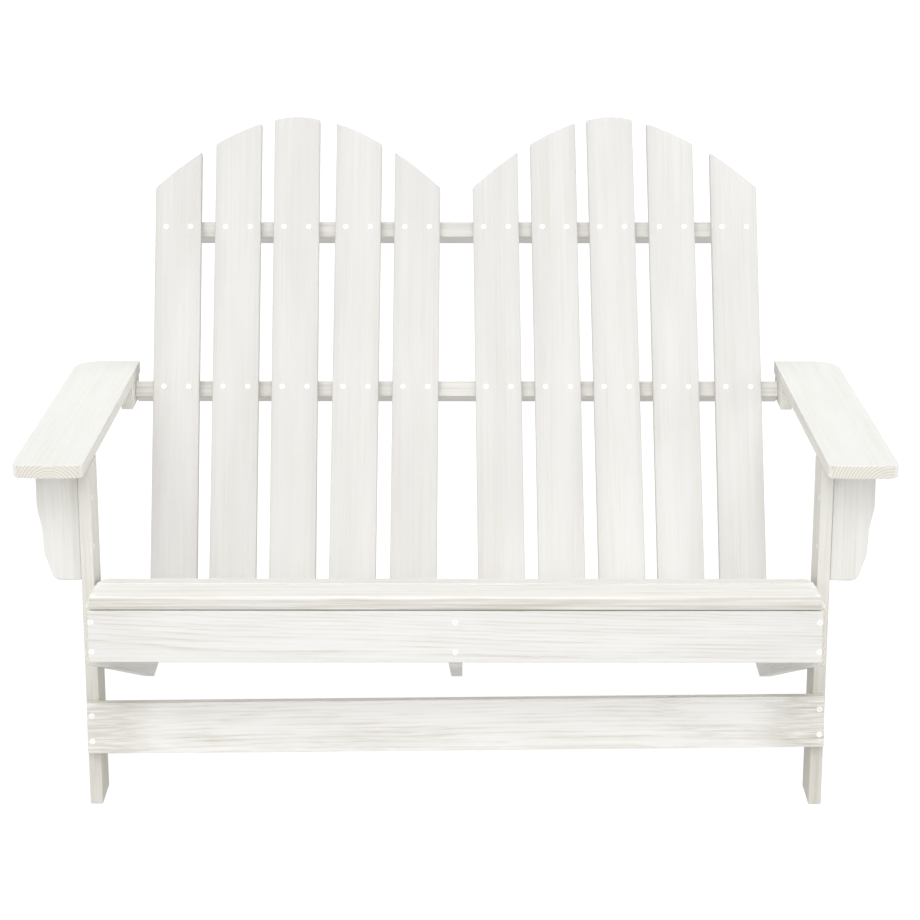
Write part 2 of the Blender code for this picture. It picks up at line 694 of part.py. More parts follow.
def add_arm_set(bench, plan, back, side_name, side, arm_level):
    """An arm, and the cleat that carries its rear end on the arm-level batten."""
    outer = side * ARM_WIDTH
    corners = [
        (0, ARM_FRONT_BOW, ARM_INNER_ROUND),
        (outer / 2, 0, ARM_BOW_ROUND),
        (outer, ARM_FRONT_BOW, ARM_OUTER_ROUND),
        (outer, plan.length, ARM_REAR_ROUND),
        (0, plan.length, 0),
    ]
    frame = add_frame(side_name + "_arm_frame", bench, plan.placement(side))
    arm = add_board(side_name + "_arm", rounded_outline(corners), 0, ARM_THICKNESS, frame)

    inner = side * plan.cleat_inner
    outer = inner + side * BOARD
    top = ARM_UNDERSIDE - FIT_GAP
    low = top - CLEAT_HEIGHT
    outline = rectangle(plan.cleat_front, low, plan.cleat_rear, top)
    cleat = add_board(side_name + "_arm_cleat", outline, *sorted((inner, outer)), bench, SIDE_ON)

    x = (inner + outer) / 2
    places = []
    for y in (plan.cleat_front + CLEAT_SCREW_MARGIN, plan.cleat_rear - CLEAT_SCREW_MARGIN):
        places.append(((x, y, low), (0, 0, 1), CLEAT_SCREW_LENGTH))
    add_separate_screws(side_name + "_cleat_screw", places, bench, (cleat, arm))

    height = back.level - BATTEN_HEIGHT / 2 * cos(BACK_RECLINE) - BATTEN_DEPTH / 2 * sin(BACK_RECLINE)
    places = [((outer, back.batten_middle(), height), (-side, 0, 0), BATTEN_SCREW_LENGTH)]
    add_separate_screws(side_name + "_batten_end_screw", places, bench, (cleat, arm_level))
    return arm


def add_dowels(bench, legs_plan, arms, legs, brackets):
    """Two dowels in each leg's top and one in each bracket's, up into the arms."""
    low = ARM_UNDERSIDE - DOWEL_BELOW_ARM
    length = DOWEL_BELOW_ARM + DOWEL_IN_ARM
    middle_height = ARM_UNDERSIDE - DOWEL_BELOW_ARM / 2
    leg_x = legs_plan.foot_inner + legs_plan.outward(middle_height) + BOARD / 2
    front = LEG_SETBACK + middle_height * legs_plan.lean
    spots = [
        (leg_x, front + LEG_DOWEL_MARGIN),
        (leg_x, front + LEG_WIDTH - LEG_DOWEL_MARGIN),
        (leg_x + BOARD / 2 + BRACKET_DOWEL_REACH, front + BRACKET_SETBACK + BOARD / 2),
    ]
    places = []
    for _, side in SIDES:
        for x, y in spots:
            places.append(((side * x, y, low), (0, 0, 1), length))
    add_turned_nodes("arm_dowel", places, bench, dowel_rings, DOWEL_SIDES, RAW_BEECH)
    holes = add_turned_group("arm_dowel_holes", places, bench, dowel_hole_rings, DOWEL_SIDES)
    cut_all(arms + legs + brackets, holes)


def centre_on_floor(bench):
    """Moves the origin to the floor under the middle of the bench."""
    scene_state = bpy.context.evaluated_depsgraph_get()
    corners = []
    for piece in bpy.data.objects:
        if piece.type == "MESH" and not piece.hide_render:
            solid = piece.evaluated_get(scene_state)
            corners += [solid.matrix_world @ point.co for point in solid.data.vertices]
    low = Vector([min(corner[axis] for corner in corners) for axis in range(3)])
    high = Vector([max(corner[axis] for corner in corners) for axis in range(3)])
    bench.location = (-(low.x + high.x) / 2, -(low.y + high.y) / 2, -low.z)


def build_bench():
    clear_scene()
    bench = add_frame("bench_frame", None, LAID_FLAT)
    line = SeatLine()
    legs_plan = LegPlan(line)
    back_plan = BackPlan(line)
    arms_plan = ArmPlan(legs_plan, back_plan)

    stringers = add_stringers(bench, line)
    apron = add_apron(bench, line, stringers)
    slats = add_seat(bench, line)
    add_seat_screws(bench, line, slats, stringers, apron)

    cutters = add_level_cutters(bench, legs_plan)
    side_stringers = {"left": stringers[0], "right": stringers[-1]}
    legs = []
    brackets = []
    for side_name, side in SIDES:
        stringer = side_stringers[side_name]
        leg, bracket = add_leg_set(bench, legs_plan, side_name, side, stringer, cutters)
        legs.append(leg)
        brackets.append(bracket)
    add_lower_rail(bench, legs_plan, legs)

    arm_level = add_back(bench, back_plan, arms_plan.cleat_inner - FIT_GAP, stringers)
    arms = []
    for side_name, side in SIDES:
        arms.append(add_arm_set(bench, arms_plan, back_plan, side_name, side, arm_level))
    add_dowels(bench, legs_plan, arms, legs, brackets)
    bpy.context.view_layer.update()
    centre_on_floor(bench)


build_bench()
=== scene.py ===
"""Looks of a two-seat garden bench of white-washed fir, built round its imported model.

Metres, +Z up. The front faces -Y, and a person who sits on the bench has +X on the left hand.
A board is laid out in its turned frame, which is the bench's own frame turned about the origin until
the board's faces lie along the axes.
"""
import itertools
import json
import bmesh
import bpy
import numpy as np
from math import cos, pi, radians, sin, tan
from mathutils import Matrix, Vector

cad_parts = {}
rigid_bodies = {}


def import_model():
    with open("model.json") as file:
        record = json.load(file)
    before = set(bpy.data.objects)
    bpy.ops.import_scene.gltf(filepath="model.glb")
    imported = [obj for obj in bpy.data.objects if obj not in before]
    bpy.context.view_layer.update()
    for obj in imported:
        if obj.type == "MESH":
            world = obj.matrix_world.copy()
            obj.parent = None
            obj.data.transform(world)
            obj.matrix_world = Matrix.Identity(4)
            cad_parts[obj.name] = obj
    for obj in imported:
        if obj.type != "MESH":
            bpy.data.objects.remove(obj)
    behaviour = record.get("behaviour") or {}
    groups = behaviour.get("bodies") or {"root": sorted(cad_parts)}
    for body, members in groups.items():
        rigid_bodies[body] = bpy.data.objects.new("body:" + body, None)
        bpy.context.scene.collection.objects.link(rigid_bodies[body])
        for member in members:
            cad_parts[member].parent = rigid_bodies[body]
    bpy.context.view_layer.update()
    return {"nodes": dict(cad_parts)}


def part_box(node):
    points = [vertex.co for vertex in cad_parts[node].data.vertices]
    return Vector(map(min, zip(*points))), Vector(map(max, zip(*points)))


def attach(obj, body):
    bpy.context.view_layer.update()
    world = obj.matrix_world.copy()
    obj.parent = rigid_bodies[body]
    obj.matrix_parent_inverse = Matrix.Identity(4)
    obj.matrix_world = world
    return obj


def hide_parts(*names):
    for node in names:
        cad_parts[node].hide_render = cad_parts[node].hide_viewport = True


for leftover in list(bpy.data.objects):
    bpy.data.objects.remove(leftover, do_unlink=True)
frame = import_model()

# Timber
BOARD = 0.018                   # thickness of the planed boards
EDGE_ROUND = 0.001
SOFT_EDGE_ROUND = 0.002         # on the back slats and the brackets
EDGE_STEPS = 3
EDGE_ANGLE = radians(30.0)
ARC_STEPS = 12
FIT_GAP = 0.0003                # clearance between pieces that touch
OVERRUN = 0.02                  # how far a board is drawn past its level cut

# Back, in its reclined frame
RECLINE = radians(25.0)
FAN_SLATS = 5
ARCH_RISE = 0.4340              # top of an arch above the arm-level batten's top
ARCH_DROP = 0.118               # from the middle of an arch to its sides
ARCH_POWER = 1.75
ARCH_CUTS = 13                  # points across one slat's top edge
SLAT_WIDTH = 0.07338
SLAT_SPACE = 0.0219
SLAT_PITCH = SLAT_WIDTH + SLAT_SPACE
FAN_HALF = (SLAT_WIDTH * FAN_SLATS + SLAT_SPACE * (FAN_SLATS - 1)) / 2
FAN_MIDDLE = 0.25685            # from the middle of the bench
SLAT_LEANS = {                  # degrees to +X at the top
    "left": (-0.3, 0.0, 0.0, 0.5, 0.4),
    "right": (-0.8, -0.9, -1.1, -0.8, -0.5),
}
SLAT_SHIFT_SHARES = {           # shares of the space between two slats, to +X
    "left": (0.01, -0.03, -0.08, 0.00, 0.01),
    "right": (0.01, -0.02, -0.09, -0.13, 0.05),
}
BATTEN_HEIGHT = 0.0245
BATTEN_DEPTH = 0.042
UPPER_BATTEN_RISE = 0.2383      # above the arm-level batten's top
SLAT_BELOW_BATTEN = 0.009       # lower ends of the slats below the bottom batten
BACK_SCREW_SPREAD = 0.0198      # to each side of a slat's middle

# Seat
SEAT_SLOPES = tuple(radians(slope) for slope in (4.0, 12.5, 17.0, 20.16, 20.16, 20.16, 20.16))
SEAT_SLATS = len(SEAT_SLOPES)
NOSE_ROUND = 0.007
SLAT_SCREW_INSET = 0.0038       # from a slat's end
NOSE_SCREW_SETBACK = 0.0115
FRONT_SCREW_MARGIN = 0.014
REAR_SCREW_MARGIN = 0.012

# Apron, stringers, legs and rail
APRON_WIDTH = 0.0743
APRON_SCREW_INSET = 0.0045      # from the apron's end
APRON_SCREW_TOP = 0.0166
APRON_SCREW_SPACING = 0.0427
STRINGER_SLOPE = radians(20.16)
STRINGER_WIDTH = 0.1121
TOE_ROUNDS = {"left": 0.003, "centre": 0.020, "right": 0.028}
LEG_RAKE = radians(6.1)
LEG_SPLAY = radians(1.2)
LEG_SCREW_MARGIN = 0.020
LEG_SCREW_HEIGHTS = (0.2050, 0.2550)
RAIL_LEAN = radians(0.6)
RAIL_SCREW_INSET = 0.0068       # from the rail's end
RAIL_SCREW_HEIGHTS = (0.018, 0.055)

# Arms, with their brackets and cleats
ARM_UNDERSIDE = 0.4876
ARM_TOE = radians(0.68)
ARM_BOW = 0.005
ARM_BOW_ROUND = 0.200
ARM_INNER_ROUND = 0.014
ARM_OUTER_ROUND = 0.017
ARM_REAR_ROUND = 0.042
BRACKET_WIDTH = 0.0605
BRACKET_DROP = 0.1625
BRACKET_CURVE_SHARES = (        # across the width, down the drop, rounding in widths
    (1.00, 0.34, 0.35),
    (0.89, 0.54, 0.50),
    (0.86, 0.76, 0.45),
    (0.64, 1.00, 0.22),
)
BRACKET_SCREW_DROPS = (0.045, 0.115)
CLEAT_SCREW_MARGIN = 0.0155

# Screw heads
HEAD_RADIUS = 0.0042
HEAD_RINGS = (                  # radius share, height, how far the ring follows the cross recess
    (1.00, -0.0008, 0.0),
    (1.00, 0.00006, 0.0),
    (0.93, 0.00022, 0.0),
    (0.34, 0.00028, 0.5),
    (0.20, -0.0004, 1.0),
)
HEAD_SIDES = 16
CROSS_ARMS = 4
CROSS_DEPTH = 0.45              # share of the radius that is taken off between the arms
SCREW_SEED = 7

# Grain. The scales are noise cells per metre: along, across and through a board
BEND_SCALES = (1.3, 5.0, 5.0)
WOBBLE_SCALES = (10.0, 34.0, 34.0)
STREAK_SCALES = (4.0, 230.0, 230.0)
FIBRE_SCALES = (26.0, 1100.0, 1100.0)
TONE_SCALES = (2.6, 22.0, 22.0)
COVER_SCALES = (6.0, 30.0, 30.0)
BREAK_SCALES = (35.0, 90.0, 90.0)
PATCH_SCALES = (7.0, 30.0, 30.0)
GRIT_SCALES = (16.0, 260.0, 260.0)
CHIP_SCALES = (420.0, 420.0, 420.0)
FLECK_SCALES = (900.0, 900.0, 90.0)
RING_WIDTH = 0.0042
BEND = 0.020                    # slow swing of the rings along a board
WOBBLE = 0.0030
PITH_SPREAD = 0.11              # width over which the log's middle falls
PITH_DEPTH = 0.013              # least depth of the log's middle behind the board's
PITH_DEPTH_SPREAD = 0.045
TILT_SPREAD = 0.05
KNOTS_PER_METRE = 7.5
KNOT_SIZE = 0.008
KNOT_CORE = 0.55                # share of a knot's size where it is darkest
SWIRL_REACH = 2.2               # in knot sizes
FOOT_DAMP = (0.26, 0.10)        # above the foot: where damp ends, and where it is full
END_DAMP = (0.22, 0.16)         # from a board's end, likewise
END_DAMP_RAGGED = 0.22
FIBRE_SHOWING = 0.08
LEAST_COVER = 0.4
WASH_ROUGHNESS = 0.62
GRAIN_RELIEF = 0.00025
NUMBER_STEP = 0.618             # from one board's number to the next

# Camera, fitted to the photograph
CAMERA_PLACE = (0.0150, -4.240, 1.535)
CAMERA_PITCH = 0.25548          # radians down
CAMERA_YAW = 0.0022
CAMERA_FOCAL = 2892.4           # in pixels of the photograph
PHOTO_SIDE = 920
SENSOR = 36.0
VIEW_REACH = 200.0

# Studio
SKY_STRENGTH = 0.51
SKY_SEEN_STRENGTH = 0.49        # more of it, for the camera alone
LIGHTS = (                      # name, strength, tilt from straight down, swing from the left, width
    ("key", 1.17, 52.0, -12.0, 60.0),
    ("top", 0.82, 15.0, 0.0, 70.0),
    ("right_fill", 0.90, 84.0, 72.0, 40.0),
    ("left_fill", 0.45, 84.0, -72.0, 40.0),
)
FLOOR_REACH = 40.0
FLOOR_SHADE = 0.20
FLOOR_GLOW = 0.52
FLOOR_SEEN_GLOW = 0.39          # more of it, for the camera alone

SIDE_ON = Matrix(((0, 0, 1, 0), (1, 0, 0, 0), (0, 1, 0, 0), (0, 0, 0, 1)))
FACE_ON = Matrix(((1, 0, 0, 0), (0, 0, -1, 0), (0, 1, 0, 0), (0, 0, 0, 1)))
LAID_FLAT = Matrix.Identity(4)
SIDES = (("left", -1), ("right", 1))


# Wiring of node trees

def add_node(tree, kind, inputs=(), **settings):
    """A node whose inputs are given in their order, or by name in a dictionary."""
    node = tree.nodes.new(kind)
    for name, value in settings.items():
        setattr(node, name, value)
    sockets = [socket for socket in node.inputs if socket.enabled]
    if isinstance(inputs, dict):
        named = {socket.name: socket for socket in reversed(sockets)}
        pairs = [(named[name], value) for name, value in inputs.items()]
    else:
        pairs = list(zip(sockets, inputs))
    for socket, value in pairs:
        if isinstance(value, bpy.types.NodeSocket):
            tree.links.new(value, socket)
        elif value is not None:
            socket.default_value = value
    return node


def live_output(node):
    """The first output that a node's settings leave in use."""
    return next(socket for socket in node.outputs if socket.enabled)


def calc(tree, operation, *values, clamp=False):
    return add_node(tree, "ShaderNodeMath", values, operation=operation, use_clamp=clamp).outputs[0]


def chain(tree, operation, *values):
    """One operation over all the values, from the first to the last."""
    result = values[0]
    for value in values[1:]:
        result = calc(tree, operation, result, value)
    return result


def add(tree, *values):
    return chain(tree, "ADD", *values)


def subtract(tree, *values):
    return chain(tree, "SUBTRACT", *values)


def multiply(tree, *values):
    return chain(tree, "MULTIPLY", *values)


def calc_vector(tree, operation, *values):
    return live_output(add_node(tree, "ShaderNodeVectorMath", values, operation=operation))


def split(tree, vector):
    return add_node(tree, "ShaderNodeSeparateXYZ", (vector,)).outputs


def combine(tree, x, y, z):
    return add_node(tree, "ShaderNodeCombineXYZ", (x, y, z)).outputs[0]


def ease(tree, value, low, high, start=0.0, end=1.0):
    """A smooth step from start to end while the value goes from low to high."""
    inputs = {"Value": value, "From Min": low, "From Max": high, "To Min": start, "To Max": end}
    return add_node(tree, "ShaderNodeMapRange", inputs, interpolation_type="SMOOTHSTEP").outputs[0]


def blend_colours(tree, share, first, second):
    inputs = {"Factor": share, "A": first, "B": second}
    return live_output(add_node(tree, "ShaderNodeMix", inputs, data_type="RGBA"))


def noise(tree, vector, scales, detail=2.0, roughness=0.5):
    """Noise with its own scale, per metre, along each axis."""
    stretched = calc_vector(tree, "MULTIPLY", vector, scales)
    inputs = {"Vector": stretched, "Scale": 1.0, "Detail": detail, "Roughness": roughness}
    return add_node(tree, "ShaderNodeTexNoise", inputs, noise_dimensions="3D").outputs[0]


def new_group(name, kind, inputs, outputs, output_kind="Float"):
    """A node group with named sockets. An input is its name, kind and value."""
    tree = bpy.data.node_groups.new(name, kind)
    for label, socket_kind, value in inputs:
        socket = tree.interface.new_socket(label, in_out="INPUT", socket_type="NodeSocket" + socket_kind)
        if value is not None:
            socket.default_value = value
    for label in outputs:
        tree.interface.new_socket(label, in_out="OUTPUT", socket_type="NodeSocket" + output_kind)
    given = tree.nodes.new("NodeGroupInput").outputs
    results = tree.nodes.new("NodeGroupOutput").inputs
    return tree, given, results


def put_out(tree, results, values):
    for name, value in values.items():
        tree.links.new(value, results[name])


def colour(red, green, blue):
    """Linear colour from the levels of a screen, 0 to 255, none of them near black."""
    return (*(((level / 255 + 0.055) / 1.055) ** 2.4 for level in (red, green, blue)), 1.0)


# Shader groups

BOARD_INPUTS = (
    ("Board Place", "Vector", None),
    ("Half Size", "Vector", None),
    ("Board Number", "Float", 0.0),
)


def to_both_sides(tree, value, width):
    """A value of 0 to 1, spread over a width on both sides of zero."""
    return multiply(tree, subtract(tree, value, 0.5), width)


def board_chance(tree, number, factor):
    """A value of 0 to 1 that differs from board to board, and from factor to factor."""
    return calc(tree, "FRACT", multiply(tree, number, factor))


def set_apart(tree, given, steps):
    """The place on a board, moved by the board's number so that no two boards look alike."""
    return calc_vector(tree, "ADD", given["Board Place"],
                       calc_vector(tree, "MULTIPLY", given["Board Number"], steps))


def find_inset(tree, given):
    """How far a place lies inside the board's faces: along, across and through."""
    from_middle = calc_vector(tree, "ABSOLUTE", given["Board Place"])
    return calc_vector(tree, "SUBTRACT", given["Half Size"], from_middle)


def make_fir_grain():
    """Growth rings, fibre, knots and broad tone of a sawn board, from its board coordinates."""
    tree, given, results = new_group(
        "fir_grain", "ShaderNodeTree",
        (("Board Place", "Vector", None), ("Board Number", "Float", 0.0),
         ("Ring Width", "Float", RING_WIDTH), ("Waviness", "Float", 1.0), ("Slant", "Float", 0.0),
         ("Knot Size", "Float", KNOT_SIZE)),
        ("Rings", "Streaks", "Fibre", "Tone", "Knots", "Cover", "Height"),
    )
    number = given["Board Number"]
    knot_size = given["Knot Size"]
    place = set_apart(tree, given, (31.7, 17.3, 11.9))

    bend = to_both_sides(tree, noise(tree, place, BEND_SCALES, 1.0), BEND)
    wobble = to_both_sides(tree, noise(tree, place, WOBBLE_SCALES), WOBBLE)
    warp = multiply(tree, add(tree, bend, wobble), given["Waviness"])

    knot_inputs = {"Vector": place, "Scale": KNOTS_PER_METRE, "Randomness": 1.0}
    knot_cells = add_node(tree, "ShaderNodeTexVoronoi", knot_inputs, voronoi_dimensions="3D", feature="F1")
    knot_distance = calc(tree, "DIVIDE", knot_cells.outputs["Distance"], KNOTS_PER_METRE)
    knots = ease(tree, knot_distance, knot_size, multiply(tree, knot_size, KNOT_CORE))
    near = calc(tree, "DIVIDE", knot_distance, multiply(tree, knot_size, SWIRL_REACH))
    swirl = calc(tree, "EXPONENT", multiply(tree, near, near, -1.0))

    along, across, through = split(tree, given["Board Place"])
    pith_across = to_both_sides(tree, board_chance(tree, number, 5.3), PITH_SPREAD)
    pith_depth = calc(tree, "MULTIPLY_ADD", board_chance(tree, number, 9.1), PITH_DEPTH_SPREAD, PITH_DEPTH)
    tilt = to_both_sides(tree, board_chance(tree, number, 3.1), TILT_SPREAD)
    slope = multiply(tree, along, add(tree, tilt, given["Slant"]))
    width = add(tree, subtract(tree, across, pith_across), slope, warp)
    depth = add(tree, through, pith_depth, multiply(tree, warp, 0.6))
    squares = add(tree, multiply(tree, width, width), multiply(tree, depth, depth))
    radius = add(tree, calc(tree, "SQRT", squares), multiply(tree, swirl, knot_size))
    ring = calc(tree, "FRACT", calc(tree, "DIVIDE", radius, given["Ring Width"]))
    rings = multiply(tree, ease(tree, ring, 0.52, 0.88), ease(tree, ring, 0.90, 1.0, 1.0, 0.0))

    fibre = noise(tree, place, FIBRE_SCALES)
    put_out(tree, results, {
        "Rings": rings,
        "Streaks": noise(tree, place, STREAK_SCALES, 4.0, 0.65),
        "Fibre": fibre,
        "Tone": noise(tree, place, TONE_SCALES),
        "Knots": knots,
        "Cover": noise(tree, place, COVER_SCALES, 4.0, 0.6),
        "Height": calc(tree, "MULTIPLY_ADD", fibre, 0.45, multiply(tree, rings, 0.55)),
    })
    return tree


def make_edge_wear_and_shade():
    """How worn a board is along its edges, and a band of painted shade along them, from its board coordinates
    and half sizes.
    """
    tree, given, results = new_group(
        "edge_wear_and_shade", "ShaderNodeTree",
        BOARD_INPUTS + (("Band", "Float", 0.003), ("Shade Band", "Float", 0.016)),
        ("Wear", "Shade"),
    )
    x, y, z = split(tree, find_inset(tree, given))
    most = chain(tree, "MAXIMUM", x, y, z)
    least = chain(tree, "MINIMUM", x, y, z)
    # On a face, the middle one of the three insets is the distance from the nearest edge
    from_edge = subtract(tree, add(tree, x, y, z), most, least)
    broken = noise(tree, set_apart(tree, given, (41.0, 1.0, 1.0)), BREAK_SCALES, 3.0)
    uneven = multiply(tree, subtract(tree, broken, 0.42), multiply(tree, given["Band"], 3.0))
    # Wear is real wear of the wash. Shade is painted shade: a soft band along a face's two long edges, across
    # the board's width, is darker.
    put_out(tree, results, {
        "Wear": ease(tree, add(tree, from_edge, uneven), given["Band"], 0.0),
        "Shade": ease(tree, y, given["Shade Band"], 0.0),
    })
    return tree


def make_weather_marks():
    """Mottles that damp leaves on low boards, climbing from their feet or creeping in from their ends."""
    tree, given, results = new_group(
        "weather_marks", "ShaderNodeTree",
        BOARD_INPUTS + (("Share", "Float", 0.3), ("Rising", "Float", 0.0), ("Ends", "Float", 0.0)),
        ("Marks", "Rising", "Ends"),
    )
    place = set_apart(tree, given, (23.0, 7.0, 1.0))
    patches = noise(tree, place, PATCH_SCALES, 3.0, 0.6)
    grit = noise(tree, place, GRIT_SCALES, 4.0, 0.65)
    limit = subtract(tree, 0.78, multiply(tree, given["Share"], 0.45))
    spread = ease(tree, patches, subtract(tree, limit, 0.12), add(tree, limit, 0.12))
    texture = ease(tree, grit, 0.35, 0.75)
    from_foot = add(tree, split(tree, given["Board Place"])[0], split(tree, given["Half Size"])[0])
    climb = calc(tree, "MULTIPLY_ADD", texture, 0.5, multiply(tree, patches, 0.8))
    ragged = calc(tree, "MULTIPLY_ADD", grit, END_DAMP_RAGGED, split(tree, find_inset(tree, given))[0])
    gritty = ease(tree, grit, 0.36, 0.60, 0.35, 1.0)
    put_out(tree, results, {
        "Marks": multiply(tree, spread, texture),
        "Rising": multiply(tree, ease(tree, from_foot, *FOOT_DAMP), climb, given["Rising"]),
        "Ends": multiply(tree, ease(tree, ragged, *END_DAMP), gritty, given["Ends"]),
    })
    return tree


FIR_GRAIN = make_fir_grain()
EDGE_WEAR_AND_SHADE = make_edge_wear_and_shade()
WEATHER_MARKS = make_weather_marks()


def add_group(tree, group, inputs):
    return add_node(tree, "ShaderNodeGroup", inputs, node_tree=group).outputs


def read_attribute(tree, name, output):
    return add_node(tree, "ShaderNodeAttribute", attribute_name=name).outputs[output]


WOOD_SHOWING = colour(206, 199, 184)
KNOT_SHOWING = colour(184, 170, 146)
DAMP_GREY = colour(186, 180, 166)
END_GRAIN = colour(196, 186, 166)
# Grey of a thin wash. It is also used as painted shade along the edges.
THIN_WASH_AND_EDGE_SHADE = colour(206, 205, 203)
# Bare wood colour, used mostly as painted shade on faces that lie in shade
BARE_WOOD_AND_SHADE = colour(168, 161, 148)


def start_material(name):
    material = bpy.data.materials.new(name)
    material.use_nodes = True
    tree = material.node_tree
    return material, tree, tree.nodes["Principled BSDF"]


def make_wash(name, wash, rings=0.20, streaks=0.20, wear=0.15, tone=0.12, board_tone=0.10, edge_shade=0.12,
              knots=0.4, marks=0.0, mark_share=0.3, ends=0.5, bare_and_shade=0.0, ring_width=RING_WIDTH, waviness=1.0,
              slant=0.0, knot_size=KNOT_SIZE, rising_damp=0.0, end_damp=0.0):
    """White wash over fir: the numbers say how much of each kind of grain shows through, and how much painted
    shade falls along the edges and on the faces towards one side.
    """
    material, tree, shader = start_material(name)
    board = {
        "Board Place": read_attribute(tree, "board_place", "Vector"),
        "Board Number": read_attribute(tree, "board_number", "Fac"),
    }
    sized_board = board | {"Half Size": read_attribute(tree, "half_size", "Vector")}
    growth = {"Ring Width": ring_width, "Waviness": waviness, "Slant": slant, "Knot Size": knot_size}
    grain = add_group(tree, FIR_GRAIN, board | growth)
    edges = add_group(tree, EDGE_WEAR_AND_SHADE, sized_board)
    weather = {"Share": mark_share, "Rising": rising_damp, "Ends": end_damp}
    damp = add_group(tree, WEATHER_MARKS, sized_board | weather)

    # Share of the thin-wash grey. The tone per board and the broad tone belong to the wood; the edge band is
    # painted shade.
    shade = multiply(tree, board_chance(tree, board["Board Number"], 7.7), board_tone)
    shade = calc(tree, "MULTIPLY_ADD", ease(tree, grain["Tone"], 0.30, 0.72), tone, shade)
    # Painted shade: darker along the edges
    shade = calc(tree, "MULTIPLY_ADD", edges["Shade"], edge_shade, shade)
    base = blend_colours(tree, shade, wash, THIN_WASH_AND_EDGE_SHADE)

    showing = multiply(tree, grain["Rings"], ease(tree, grain["Streaks"], 0.35, 0.62, 0.3, 1.0), rings)
    for value, low, high, strength in (
        (grain["Streaks"], 0.36, 0.72, streaks),
        (grain["Fibre"], 0.35, 0.80, FIBRE_SHOWING),
        (edges["Wear"], 0.0, 1.0, wear),
    ):
        showing = calc(tree, "MULTIPLY_ADD", ease(tree, value, low, high), strength, showing)
    showing = multiply(tree, showing, ease(tree, grain["Cover"], 0.36, 0.62, LEAST_COVER, 1.0))
    base = blend_colours(tree, calc(tree, "MINIMUM", showing, 1.0), base, WOOD_SHOWING)
    base = blend_colours(tree, multiply(tree, grain["Knots"], knots), base, KNOT_SHOWING)
    damp_share = calc(tree, "MULTIPLY_ADD", damp["Marks"], marks, add(tree, damp["Rising"], damp["Ends"]))
    base = blend_colours(tree, damp_share, base, DAMP_GREY)

    end_mask = ease(tree, read_attribute(tree, "end_grain", "Fac"), 0.60, 0.90)
    end_rings = calc(tree, "MULTIPLY_ADD", grain["Rings"], 0.6, 0.4)
    base = blend_colours(tree, multiply(tree, end_mask, end_rings, ends), base, END_GRAIN)
    # Painted shade on the faces towards one side, broken up by the broad tone, with bare-wood streaks in it
    patchy = to_both_sides(tree, grain["Tone"], 1.2)
    bare_and_shade_mask = ease(tree, add(tree, read_attribute(tree, "bare_face", "Fac"), patchy), 0.25, 0.75)
    bare_and_shade_lines = ease(tree, grain["Streaks"], 0.34, 0.66, 0.35, 1.0)
    base = blend_colours(tree, multiply(tree, bare_and_shade_mask, bare_and_shade_lines, bare_and_shade), base, BARE_WOOD_AND_SHADE)

    tree.links.new(base, shader.inputs["Base Color"])
    rough = calc(tree, "MULTIPLY_ADD", showing, 0.25, WASH_ROUGHNESS, clamp=True)
    tree.links.new(rough, shader.inputs["Roughness"])
    shader.inputs["Specular IOR Level"].default_value = 0.35
    relief = {"Strength": 0.5, "Distance": GRAIN_RELIEF, "Height": grain["Height"]}
    bump = add_node(tree, "ShaderNodeBump", relief)
    tree.links.new(bump.outputs[0], shader.inputs["Normal"])
    return material


# The back slats' edges get the most painted shade
BACK_WASH = make_wash("back_slat_wash", colour(227, 226, 224), rings=0.10, streaks=0.26, wear=0.06,
                      tone=0.30, board_tone=0.30, edge_shade=0.22, knots=0.0, marks=0.18, mark_share=0.25)
SEAT_WASH = make_wash("seat_slat_wash", colour(246, 245, 241), rings=0.30, streaks=0.28, knots=0.1,
                      bare_and_shade=0.55, edge_shade=0.05)
APRON_WASH = make_wash("apron_wash", colour(241, 240, 238), rings=0.40, streaks=0.32, ring_width=0.0038,
                       edge_shade=0.05, board_tone=0.0, knots=0.0, knot_size=0.002, slant=0.06, marks=0.25,
                       mark_share=0.25, end_damp=0.10)
# The rail's white is painted lighter than the apron's to make up for the shade under the seat: painted light
RAIL_WASH_WITH_PAINTED_LIGHT = make_wash("rail_wash_with_painted_light", colour(253, 252, 249), rings=0.30, streaks=0.30, marks=0.42,
                      mark_share=0.40, ring_width=0.0055, waviness=1.6, tone=0.05, board_tone=0.0,
                      edge_shade=0.0, end_damp=0.55)
LEG_WASH = make_wash("leg_wash", colour(228, 227, 221), rings=0.24, streaks=0.26, marks=0.2, board_tone=0.0,
                     edge_shade=0.05, rising_damp=0.6)
ARM_WASH = make_wash("arm_wash", colour(246, 246, 242), rings=0.08, streaks=0.10, tone=0.06, ends=0.75,
                     board_tone=0.0, edge_shade=0.0, bare_and_shade=0.30)
BRACKET_WASH = make_wash("bracket_wash", colour(234, 233, 230), rings=0.16, streaks=0.40, board_tone=0.0,
                         bare_and_shade=0.9)
BATTEN_WASH = make_wash("batten_wash", colour(241, 240, 236), rings=0.18, streaks=0.30, marks=0.20,
                        ends=0.3, bare_and_shade=0.25)
# The stringers' white is painted lighter than the other boards' to make up for the shade under the seat:
# painted light
STRINGER_WASH_WITH_PAINTED_LIGHT = make_wash("stringer_wash_with_painted_light", colour(252, 251, 246), rings=0.24, streaks=0.24, marks=0.15)


